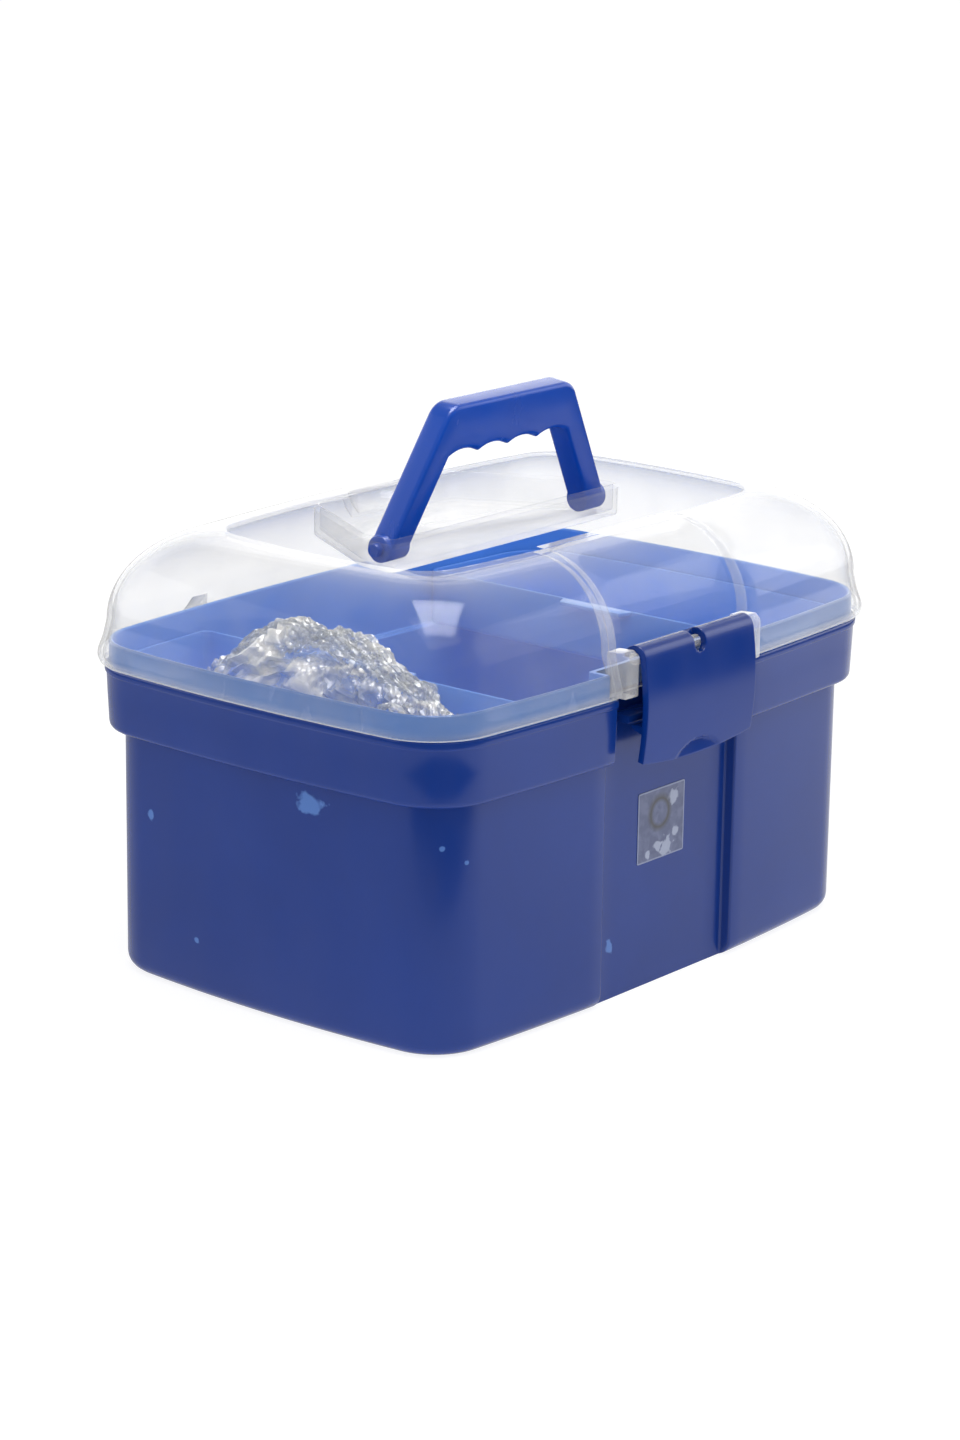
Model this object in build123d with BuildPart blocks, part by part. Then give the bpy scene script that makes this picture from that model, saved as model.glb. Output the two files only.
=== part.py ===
"""Sewing box with two lift-out trays, a clear hinged lid, a snap latch and a folding handle.

Frame: millimetres, +Z up, X along the length, the latch on the -Y side, the hinge on +Y.
The origin is the centre of the box's footprint, on the surface that it stands on.
"""
from math import cos, radians, sin, sqrt, tan
import os

from build123d import *

os.makedirs("parts", exist_ok=True)

# ---- Driving dimensions ---------------------------------------------------------------
length = 320.0          # over the lid's hem, at the middle of the ends
width = 217.4           # over the lid's hem, at the middle of the front and back
side_bow = 8.0          # how far the long sides bulge between the corners
end_bow = 6.55          # how far the ends bulge between the corners
hem_corner = 31.9       # plan corner radius at the lid's hem

# Tub
tub_wall = 2.2
floor_thickness = 2.6
ledge_height = 109.2    # underside of the collar's step
ledge_thickness = 2.5
collar_height = 28.8    # from the step to the shelf that the lid's hem meets
rim_height = 10.6       # the upstand inside the lid's hem
rim_wall = 2.0
body_end_inset = 10.5   # body wall inside the hem line, at the ends
body_side_inset = 6.4   # body wall inside the hem line, front and back
collar_end_inset = 3.9
collar_side_inset = 1.6
collar_flare = 1.2      # how much the collar widens from its step to its shelf
rim_inset = 3.2
body_corner = 27.0
base_round = 7.0
collar_round = 3.0

# Front channel, which carries the latch and runs from the base to the lid's flat top
channel_width = 92.0
channel_depth = 6.2     # behind the body's front wall
lid_channel_depth = 6.0
rim_gap = 0.6           # between the lid's channel wall and the rim's ends

# Lid
lid_wall = 2.0
hem_clearance = 0.6     # between the shelf and the hem
hem_height = 18.4       # from the hem's bottom to the neck
hem_bulge = 1.3
neck_inset = 2.5
dome_radius = 39.0
crown_corner = 20.0     # plan corner radius where the dome meets the flat top

# Handle and its recess
handle_rise = 59.0      # pivot to the top of the grip
handle_foot = 149.8     # over the legs, at the pivot
handle_splay = 29.7     # degrees that each leg leans inwards
leg_width = 14.2        # along X
handle_thickness = 12.0
handle_round = 2.0
handle_lean = 6.5       # degrees past upright, towards the latch
grip_depth = 22.6
grip_corner = 10.0
finger_count = 4
finger_pitch = 20.0
finger_depth = 2.3
pivot_radius = 3.0
pivot_clearance = 0.08
pivot_depth = 6.2       # pivot axis under the flat top
handle_gap = 1.5        # round the handle in its recess
pivot_y = 1.0
recess_front = 9.5      # recess wall in front of the pivot axis
scoop_radius = 19.0
scoop_reach = 16.0      # how far the finger scoop runs past the recess
scoop_depth = 9.0

# Latch
latch_width = 76.6
latch_thickness = 3.0
latch_gap = 0.5         # each side, between latch and bosses
latch_drop = 44.5       # pivot to the straight lower corners
latch_lip = 3.0         # how much lower the middle of the lower edge is
latch_bulge = 2.0       # how far the latch's face bows out
latch_stand = 0.6       # between the hinge eye and the lid
bar_radius = 2.6
bar_clearance = 0.06
bar_rise = 15.9         # pivot bar above the hem's bottom
boss_front = 3.0        # how far the bosses stand past the hem
catch_reach = 9.0       # catch ledge past the channel's face
catch_height = 125.0
catch_thickness = 3.5
barb_gap = 0.3          # between the barb and the catch ledge, where the real one flexes past
thumb_width = 31.0
thumb_height = 6.0
thumb_sphere = 65.0     # radius of the ball that the thumb dent is cut with
notch_width = 8.0
notch_depth = 9.0

# Hinge
hinge_span = 144.0      # between the middles of the two hinges
hinge_pin_radius = 1.5
hinge_eye_radius = 3.0
hinge_gap = 0.7         # between the eyes and the lid's bulge
knuckle_width = 10.0
ear_width = 5.0
hinge_side_gap = 0.3
hinge_pin_clearance = 0.06
hinge_head = 1.0

# Trays
tray_width = 77.0       # along the box's length
tray_wall = 1.6
tray_height = 26.0
tray_clearance = 0.8
tray_corner = 5.0
tray_lip_width = 40.0
tray_lip_reach = 6.0
tray_lip_thickness = 2.0
tray_seat = 0.3         # between tray and ledge

# Loose and stuck-on things
label_width = 32.8
label_height = 31.8
label_thickness = 0.3
label_middle = 72.0
pouch_length = 128.0
pouch_height = 46.0
pouch_side_gap = 7.0
pouch_lift = 0.3

# ---- Values that follow ---------------------------------------------------------------
half_length = length / 2
half_width = width / 2
shelf_height = ledge_height + collar_height
rim_top = shelf_height + rim_height
hem_bottom = shelf_height + hem_clearance
neck_height = hem_bottom + hem_height
crown_height = neck_height + dome_radius
channel_face = -(half_width - body_side_inset - channel_depth)
lid_channel_face = -(half_width - lid_channel_depth)
bar_y = lid_channel_face - latch_stand - latch_thickness - bar_radius - bar_clearance
bar_z = hem_bottom + bar_rise
boss_face = -(half_width + boss_front)
hinge_y = half_width + hem_bulge + hinge_gap + hinge_eye_radius
hinge_z = hem_bottom + 2.4
pivot_z = crown_height - pivot_depth
seat_height = ledge_height + ledge_thickness


def bowed_outline(end_inset, side_inset, corner):
    """A rectangle with four bowed sides and rounded corners, set in from the lid's hem line."""
    reach, depth = half_length - end_inset, half_width - side_inset
    side_radius = (reach**2 + side_bow**2) / (2 * side_bow)
    end_radius = (depth**2 + end_bow**2) / (2 * end_bow)
    with BuildSketch(mode=Mode.PRIVATE) as outline:
        with Locations((0, side_radius - depth)):
            Circle(side_radius)
        with Locations((0, depth - side_radius)):
            Circle(side_radius, mode=Mode.INTERSECT)
        with Locations((reach - end_radius, 0)):
            Circle(end_radius, mode=Mode.INTERSECT)
        with Locations((end_radius - reach, 0)):
            Circle(end_radius, mode=Mode.INTERSECT)
        fillet(outline.vertices(), corner)
    return outline.sketch


def save(part, name):
    """Label a finished piece and write it to its own file."""
    part.label = name
    export_step(part, f"parts/{name}.step")


# ---- Tub ------------------------------------------------------------------------------
shelf_end_inset = collar_end_inset - collar_flare
shelf_side_inset = collar_side_inset - collar_flare / 2
rim_inner_inset = rim_inset + rim_wall
collar_inner_corner = hem_corner - rim_inner_inset
seat_end_inset = collar_end_inset + tub_wall
rim_channel_width = channel_width + 2 * (lid_wall + rim_gap)

with BuildPart() as tub_body:
    with BuildSketch() as body_plan:
        add(bowed_outline(body_end_inset, body_side_inset, body_corner))
    extrude(amount=ledge_height + ledge_thickness)
    fillet(tub_body.faces().sort_by(Axis.Z)[0].edges(), base_round)

with BuildPart() as tub_collar:
    with BuildSketch(Plane.XY.offset(ledge_height)) as step_plan:
        add(bowed_outline(collar_end_inset, collar_side_inset, hem_corner - collar_side_inset))
    with BuildSketch(Plane.XY.offset(shelf_height)) as shelf_plan:
        add(bowed_outline(shelf_end_inset, shelf_side_inset, hem_corner - shelf_side_inset))
    loft()
    fillet(tub_collar.faces().sort_by(Axis.Z)[0].edges(), collar_round)

with BuildPart() as tub_hollow:
    with BuildSketch(Plane.XY.offset(floor_thickness)) as well_plan:
        add(bowed_outline(body_end_inset + tub_wall, body_side_inset + tub_wall,
                          body_corner - tub_wall))
    extrude(amount=seat_height - floor_thickness)
    fillet(tub_hollow.faces().sort_by(Axis.Z)[0].edges(), base_round - tub_wall)
    with BuildSketch(Plane.XY.offset(seat_height)) as seat_plan:
        add(bowed_outline(seat_end_inset, rim_inner_inset, collar_inner_corner))
    with BuildSketch(Plane.XY.offset(rim_top + 1)) as mouth_plan:
        add(bowed_outline(rim_inner_inset, rim_inner_inset, collar_inner_corner))
    loft()
    # the channel's wall stands inside the hollow
    with BuildSketch() as channel_wall_plan:
        with Locations((0, channel_face + tub_wall)):
            Rectangle(channel_width + 2 * tub_wall, half_width, align=(Align.CENTER, Align.MAX))
    extrude(amount=rim_top + 2, mode=Mode.SUBTRACT)
    with BuildSketch(Plane.XY.offset(shelf_height - tub_wall)) as rim_channel_wall_plan:
        with Locations((0, channel_face + tub_wall)):
            Rectangle(rim_channel_width + 2 * rim_wall, half_width,
                      align=(Align.CENTER, Align.MAX))
    extrude(amount=rim_height + tub_wall + 2, mode=Mode.SUBTRACT)

with BuildPart() as tub:
    add(tub_body.part)
    add(tub_collar.part)
    with BuildSketch(Plane.XY.offset(shelf_height)) as rim_plan:
        add(bowed_outline(rim_inset, rim_inset, hem_corner - rim_inset))
    extrude(amount=rim_height)
    with BuildSketch() as channel_plan:
        with Locations((0, channel_face)):
            Rectangle(channel_width, half_width, align=(Align.CENTER, Align.MAX))
    extrude(amount=rim_top + 1, mode=Mode.SUBTRACT)
    with BuildSketch(Plane.XY.offset(shelf_height)) as rim_channel_plan:
        with Locations((0, channel_face)):
            Rectangle(rim_channel_width, half_width, align=(Align.CENTER, Align.MAX))
    extrude(amount=rim_height + 1, mode=Mode.SUBTRACT)
    add(tub_hollow.part, mode=Mode.SUBTRACT)
    # catch ledge for the latch
    with BuildSketch(Plane.XY.offset(catch_height)) as catch_plan:
        with Locations((0, channel_face + tub_wall / 2)):
            Rectangle(latch_width - 4, catch_reach + tub_wall / 2, align=(Align.CENTER, Align.MAX))
    extrude(amount=catch_thickness)
    # hinge ears, in pairs
    ear_root = half_width - shelf_side_inset - tub_wall
    ear_top = hem_bottom - hinge_gap
    ear_offset = knuckle_width / 2 + hinge_side_gap + ear_width / 2
    for ear_x in [side * hinge_span / 2 + step * ear_offset for side in (-1, 1) for step in (-1, 1)]:
        with BuildSketch(Plane.YZ.offset(ear_x - ear_width / 2)) as ear_side:
            with BuildLine() as ear_edge:
                Polyline(
                    (ear_root, ear_top - 3 * hinge_eye_radius),
                    (ear_root, ear_top),
                    (hinge_y - hinge_eye_radius, ear_top),
                    (hinge_y - hinge_eye_radius, hinge_z),
                    (hinge_y + hinge_eye_radius, hinge_z),
                    (hinge_y + hinge_eye_radius / 2, hinge_z - hinge_eye_radius),
                    close=True,
                )
            make_face()
            with Locations((hinge_y, hinge_z)):
                Circle(hinge_eye_radius)
                Circle(hinge_pin_radius, mode=Mode.SUBTRACT)
        extrude(amount=ear_width)
save(tub.part, "tub")


# ---- Lid ------------------------------------------------------------------------------
def lid_sections(wall):
    """Heights, insets and corner radii up the lid, for a surface set in by a wall."""
    hem = [
        (hem_bottom, 0.0),
        (hem_bottom + 0.22 * hem_height, -hem_bulge),
        (hem_bottom + 0.6 * hem_height, 0.35 * neck_inset),
        (neck_height, neck_inset),
    ]
    sections = [(height, inset + wall, hem_corner - inset - wall) for height, inset in hem]
    radius = dome_radius - wall
    neck_corner = hem_corner - neck_inset - wall
    for step in range(1, 7):
        angle = radians(15 * step)
        inset = neck_inset + dome_radius - radius * cos(angle)
        corner = neck_corner + (crown_corner - wall - neck_corner) * (1 - cos(angle))
        sections.append((neck_height + radius * sin(angle), inset, corner))
    return sections


def channel_cutter(wall):
    """Outline, in YZ, of what the front channel takes off the dome, set in by a wall."""
    face, shift = lid_channel_face + wall, lid_channel_depth
    neck_y = -(half_width - neck_inset - shift - wall)
    dome_y = neck_y + dome_radius - wall
    dome_top = neck_height + dome_radius - wall
    mid_reach = (dome_radius - wall) * cos(radians(45))
    with BuildSketch(Plane.YZ, mode=Mode.PRIVATE) as cutter:
        with BuildLine():
            Polyline((dome_y, dome_top), (dome_y, crown_height + 5), (-width, crown_height + 5),
                     (-width, hem_bottom - 5), (face, hem_bottom - 5),
                     (face, hem_bottom + hem_height / 2), (neck_y, neck_height))
            ThreePointArc((neck_y, neck_height), (dome_y - mid_reach, neck_height + mid_reach),
                          (dome_y, dome_top))
        make_face()
    return cutter.sketch


def recess_outline(grow):
    """Plan of the handle's recess, grown outwards by a wall."""
    slant = tan(radians(handle_splay))
    front = pivot_y - recess_front - grow
    shoulder = pivot_y + handle_thickness / 2
    back = pivot_y + handle_rise + handle_gap + grow
    wide = handle_foot / 2 + handle_gap + grow
    narrow = wide - slant * (back - grow - shoulder)
    with BuildSketch(mode=Mode.PRIVATE) as recess:
        with BuildLine():
            Polyline((-wide, front), (wide, front), (wide, shoulder), (narrow, back),
                     (-narrow, back), (-wide, shoulder), close=True)
        make_face()
        fillet(recess.vertices(), 1.0 + grow)
    return recess.sketch


recess_floor = pivot_z - handle_thickness / 2 - handle_gap / 3
scoop_y = pivot_y + handle_rise + handle_gap + scoop_reach - scoop_radius

with BuildPart() as lid_hollow:
    for height, inset, corner in lid_sections(lid_wall):
        with BuildSketch(Plane.XY.offset(height)):
            add(bowed_outline(inset, inset, corner))
    loft()
    with BuildSketch(Plane.XY.offset(hem_bottom - 2)):
        add(bowed_outline(lid_wall, lid_wall, hem_corner - lid_wall))
    extrude(amount=2)
    add(extrude(channel_cutter(lid_wall), amount=channel_width / 2 + lid_wall, both=True,
                mode=Mode.PRIVATE), mode=Mode.SUBTRACT)
    with BuildSketch(Plane.XY.offset(recess_floor - lid_wall)):
        add(recess_outline(lid_wall))
    extrude(amount=dome_radius, mode=Mode.SUBTRACT)
    with BuildSketch(Plane.XY.offset(crown_height - scoop_depth - lid_wall)):
        with Locations((0, scoop_y)):
            Circle(scoop_radius + lid_wall)
    extrude(amount=dome_radius, mode=Mode.SUBTRACT)

with BuildPart() as lid:
    for height, inset, corner in lid_sections(0):
        with BuildSketch(Plane.XY.offset(height)):
            add(bowed_outline(inset, inset, corner))
    loft()
    add(extrude(channel_cutter(0), amount=channel_width / 2, both=True, mode=Mode.PRIVATE),
        mode=Mode.SUBTRACT)
    with BuildSketch(Plane.XY.offset(recess_floor)):
        add(recess_outline(0))
    extrude(amount=dome_radius, mode=Mode.SUBTRACT)
    with BuildSketch(Plane.XY.offset(crown_height - scoop_depth)):
        with Locations((0, scoop_y)):
            Circle(scoop_radius)
    extrude(amount=dome_radius, mode=Mode.SUBTRACT)
    add(lid_hollow.part, mode=Mode.SUBTRACT)
    # bosses each side of the latch, and the bar between them
    boss_inner = latch_width / 2 + latch_gap
    for side in (-1, 1):
        with BuildSketch(Plane.YZ.offset(side * (boss_inner + channel_width / 2 + lid_wall) / 2)):
            with BuildLine():
                Polyline((lid_channel_face + lid_wall / 2, hem_bottom), (boss_face, hem_bottom),
                         (boss_face, bar_z), (bar_y, bar_z + bar_radius + 1.4),
                         (lid_channel_face + lid_wall, neck_height + 1), close=True)
            make_face()
        extrude(amount=(channel_width / 2 + lid_wall - boss_inner) / 2, both=True)
    with BuildSketch(Plane.YZ):
        with Locations((bar_y, bar_z)):
            Circle(bar_radius)
    extrude(amount=boss_inner + 1, both=True)
    # handle pivot holes, through the recess's side walls
    with BuildSketch(Plane.YZ):
        with Locations((pivot_y, pivot_z)):
            Circle(pivot_radius + pivot_clearance)
    extrude(amount=handle_foot / 2 + handle_gap + lid_wall + 1, both=True, mode=Mode.SUBTRACT)
    # hinge knuckles
    knuckle_root = half_width - lid_wall / 2
    for side in (-1, 1):
        with BuildSketch(Plane.YZ.offset(side * hinge_span / 2)):
            with BuildLine():
                Polyline((knuckle_root, hem_bottom), (hinge_y, hinge_z - hinge_eye_radius),
                         (hinge_y, hinge_z + hinge_eye_radius),
                         (knuckle_root - lid_wall / 2, hem_bottom + 0.7 * hem_height), close=True)
            make_face()
            with Locations((hinge_y, hinge_z)):
                Circle(hinge_eye_radius)
        extrude(amount=knuckle_width / 2, both=True)
    with BuildSketch(Plane.YZ):
        with Locations((hinge_y, hinge_z)):
            Circle(hinge_pin_radius + hinge_pin_clearance)
    extrude(amount=half_length, both=True, mode=Mode.SUBTRACT)
save(lid.part, "lid")

# ---- Handle ---------------------------------------------------------------------------
# Drawn in the plane that leans with the handle: X along the box, local Y up the legs.
splay = tan(radians(handle_splay))
foot = handle_foot / 2
top_half = foot - splay * handle_rise
grip_low = handle_rise - grip_depth
inner_foot = foot - leg_width
inner_half = finger_count * finger_pitch / 2
handle_plane = Plane(
    origin=(0, pivot_y, pivot_z),
    x_dir=(1, 0, 0),
    z_dir=(0, -cos(radians(handle_lean)), -sin(radians(handle_lean))),
)
with BuildPart() as handle:
    with BuildSketch(handle_plane) as bail:
        with BuildLine():
            Polyline((-inner_half, grip_low), (-inner_foot, 0), (-foot, 0),
                     (-top_half, handle_rise), (top_half, handle_rise), (foot, 0),
                     (inner_foot, 0), (inner_half, grip_low))
            for finger in range(finger_count):
                start = finger * finger_pitch - inner_half
                ThreePointArc((start, grip_low), (start + finger_pitch / 2, grip_low + finger_depth),
                              (start + finger_pitch, grip_low))
        make_face()
        fillet(bail.vertices().group_by(Axis.Y)[-1], grip_corner)
    extrude(amount=handle_thickness / 2, both=True)
    broad_faces = handle.faces().sort_by(Axis(handle_plane.origin, handle_plane.z_dir))
    fillet(broad_faces[0].edges() + broad_faces[-1].edges(), handle_round)
    # round feet on the pivot axis
    for side in (-1, 1):
        with BuildSketch(Plane.YZ.offset(side * (foot - leg_width / 2))):
            with Locations((pivot_y, pivot_z)):
                Circle(handle_thickness / 2)
        extrude(amount=leg_width / 2, both=True)
    with BuildSketch(Plane.YZ):
        with Locations((pivot_y, pivot_z)):
            Circle(pivot_radius)
    extrude(amount=foot + handle_gap + lid_wall, both=True)
    with BuildSketch(Plane.YZ):
        with Locations((pivot_y, pivot_z)):
            Circle(handle_thickness)
    extrude(amount=inner_foot - 1, both=True, mode=Mode.SUBTRACT)
save(handle.part, "handle")

# ---- Latch ----------------------------------------------------------------------------
latch_eye = bar_radius + bar_clearance + latch_thickness
latch_outer_y = bar_y - latch_eye
latch_low = bar_z - latch_drop
barb_y = channel_face - catch_reach - barb_gap
barb_root_y = latch_outer_y - latch_bulge + latch_thickness / 2
with BuildPart() as latch:
    with BuildSketch(Plane.YZ) as latch_side:
        with BuildLine():
            bore = bar_radius + bar_clearance
            inner_y = latch_outer_y + latch_thickness
            latch_mid = (bar_z + latch_low) / 2
            latch_foot = latch_low - latch_lip
            ThreePointArc((latch_outer_y, bar_z), (bar_y, bar_z + latch_eye),
                          (bar_y + latch_eye, bar_z))
            Line((bar_y + latch_eye, bar_z), (bar_y + bore, bar_z))
            ThreePointArc((bar_y + bore, bar_z), (bar_y, bar_z + bore), (inner_y, bar_z))
            ThreePointArc((inner_y, bar_z), (inner_y - latch_bulge, latch_mid),
                          (inner_y, latch_foot))
            Line((inner_y, latch_foot), (latch_outer_y, latch_foot))
            ThreePointArc((latch_outer_y, latch_foot), (latch_outer_y - latch_bulge, latch_mid),
                          (latch_outer_y, bar_z))
        make_face()
        # the barb under the catch ledge
        with BuildLine():
            barb_top = catch_height - barb_gap
            Polyline((barb_root_y, barb_top), (barb_y, barb_top), (barb_y, barb_top - 1.5),
                     (barb_root_y, barb_top - 5), close=True)
        make_face()
    extrude(amount=latch_width / 2, both=True)
    # bowed lower edge, thumb scoop and notch over the bar
    with BuildSketch(Plane.XZ.offset(-latch_outer_y - 20)) as latch_trim:
        with BuildLine():
            corner = latch_width / 2
            ThreePointArc((-corner, latch_low), (0, latch_low - latch_lip), (corner, latch_low))
            Polyline((corner, latch_low), (corner + 2, latch_low), (corner + 2, latch_low - 20),
                     (-corner - 2, latch_low - 20), (-corner - 2, latch_low), (-corner, latch_low))
        make_face()
        with Locations((0, bar_z + latch_eye)):
            SlotCenterToCenter(2 * (notch_depth - notch_width / 2), notch_width, rotation=90)
    extrude(amount=40, mode=Mode.SUBTRACT)
    dent_radius = (thumb_width**2 / 4 + thumb_height**2) / (2 * thumb_height)
    dent_y = latch_outer_y - sqrt(thumb_sphere**2 - dent_radius**2)
    with Locations((0, dent_y, latch_low - latch_lip + thumb_height - dent_radius)):
        Sphere(thumb_sphere, mode=Mode.SUBTRACT)
save(latch.part, "latch")

# ---- Hinge pins -----------------------------------------------------------------------
pin_length = knuckle_width + 2 * (hinge_side_gap + ear_width)
for side, name in ((-1, "hinge_pin_left"), (1, "hinge_pin_right")):
    with BuildPart() as hinge_pin:
        with BuildSketch(Plane.YZ.offset(side * hinge_span / 2 - pin_length / 2)):
            with Locations((hinge_y, hinge_z)):
                Circle(hinge_pin_radius)
        extrude(amount=pin_length)
        with BuildSketch(Plane.YZ.offset(side * hinge_span / 2 + pin_length / 2)):
            with Locations((hinge_y, hinge_z)):
                Circle(hinge_pin_radius + hinge_head)
        extrude(amount=hinge_head)
    save(hinge_pin.part, name)

# ---- Trays ----------------------------------------------------------------------------
tray_end_inset = seat_end_inset + tray_clearance
tray_side_inset = rim_inner_inset + tray_clearance
tray_inner_x = half_length - tray_end_inset - tray_width
tray_base = seat_height + tray_seat
tray_top = tray_base + tray_height


def tray_outline(side, shrink):
    """Plan of one end tray, set in by a wall."""
    with BuildSketch(mode=Mode.PRIVATE) as outline:
        add(bowed_outline(tray_end_inset + shrink, tray_side_inset + shrink,
                          collar_inner_corner - tray_clearance - shrink))
        with Locations((side * (tray_inner_x + shrink), 0)):
            align = Align.MIN if side > 0 else Align.MAX
            Rectangle(length, 2 * width, align=(align, Align.CENTER), mode=Mode.INTERSECT)
        inner_side = outline.vertices().filter_by_position(
            Axis.X, side * tray_inner_x - 1 - shrink, side * tray_inner_x + 1 + shrink)
        fillet(inner_side, tray_corner - shrink)
    return outline.sketch


for side, name in ((-1, "left_tray"), (1, "right_tray")):
    with BuildPart() as tray:
        with BuildSketch(Plane.XY.offset(tray_base)):
            add(tray_outline(side, 0))
        extrude(amount=tray_height)
        with BuildSketch(Plane.XY.offset(tray_base + tray_wall)):
            add(tray_outline(side, tray_wall))
        extrude(amount=tray_height, mode=Mode.SUBTRACT)
        with BuildSketch(Plane.XY.offset(tray_top - tray_lip_thickness)) as lip_plan:
            with Locations((side * (tray_inner_x + tray_wall / 2), 0)):
                align = Align.MAX if side > 0 else Align.MIN
                Rectangle(tray_lip_reach + tray_wall / 2, tray_lip_width,
                          align=(align, Align.CENTER))
            fillet(lip_plan.vertices().sort_by(Axis.X, reverse=side < 0)[:2], tray_lip_reach / 2)
        extrude(amount=tray_lip_thickness)
    save(tray.part, name)

# ---- Label on the channel's face ------------------------------------------------------
with BuildPart() as label:
    with BuildSketch(Plane.XZ.offset(-channel_face)):
        with Locations((0, label_middle)):
            RectangleRounded(label_width, label_height, 1.0)
    extrude(amount=label_thickness)
save(label.part, "label")

# ---- Film pouch: the space that a crumpled pouch takes up in the left tray ------------
pouch_base = tray_base + tray_wall + pouch_lift
pouch_x = -(tray_inner_x + tray_width / 2)
pouch_half_width = tray_width / 2 - tray_wall - pouch_side_gap
with BuildPart() as film_pouch:
    for rise, share in ((0, 0.97), (0.4, 1.0), (0.8, 0.66), (1.0, 0.22)):
        with BuildSketch(Plane.XY.offset(pouch_base + rise * pouch_height)):
            with Locations((pouch_x, -pouch_side_gap)):
                Ellipse(share * pouch_half_width, share * pouch_length / 2)
    loft()
save(film_pouch.part, "film_pouch")
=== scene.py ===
"""Looks of a blue sewing box: clear hinged lid, snap latch, folding handle and two lift-out trays."""

import logging
import random
from dataclasses import dataclass, field
from enum import Enum
from math import atan2, cos, hypot, pi, radians, sin, sqrt, tan

import bmesh
import bpy
from mathutils import Matrix, Vector, noise


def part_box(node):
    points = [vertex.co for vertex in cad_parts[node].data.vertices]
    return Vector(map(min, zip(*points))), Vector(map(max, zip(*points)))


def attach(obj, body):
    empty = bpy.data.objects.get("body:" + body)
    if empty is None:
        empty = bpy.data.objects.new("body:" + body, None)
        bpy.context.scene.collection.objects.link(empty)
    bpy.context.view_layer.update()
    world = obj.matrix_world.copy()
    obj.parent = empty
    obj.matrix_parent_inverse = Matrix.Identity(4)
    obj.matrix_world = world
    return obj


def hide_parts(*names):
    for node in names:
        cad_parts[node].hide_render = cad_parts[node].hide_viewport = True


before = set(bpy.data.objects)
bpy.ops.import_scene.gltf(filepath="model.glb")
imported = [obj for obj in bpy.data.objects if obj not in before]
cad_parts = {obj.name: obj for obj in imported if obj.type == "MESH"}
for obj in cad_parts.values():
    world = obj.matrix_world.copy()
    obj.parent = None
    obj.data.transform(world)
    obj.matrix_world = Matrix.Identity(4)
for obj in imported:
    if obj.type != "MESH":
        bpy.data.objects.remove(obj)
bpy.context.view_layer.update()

log = logging.getLogger("sewing_box")

MM = 0.001
Colour = tuple[float, float, float]
Point2 = tuple[float, float]


class Side(Enum):
    """The two ends of the box, as the sign of X."""

    LEFT = -1
    RIGHT = 1


# ---- Finishes ---------------------------------------------------------------------------


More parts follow.
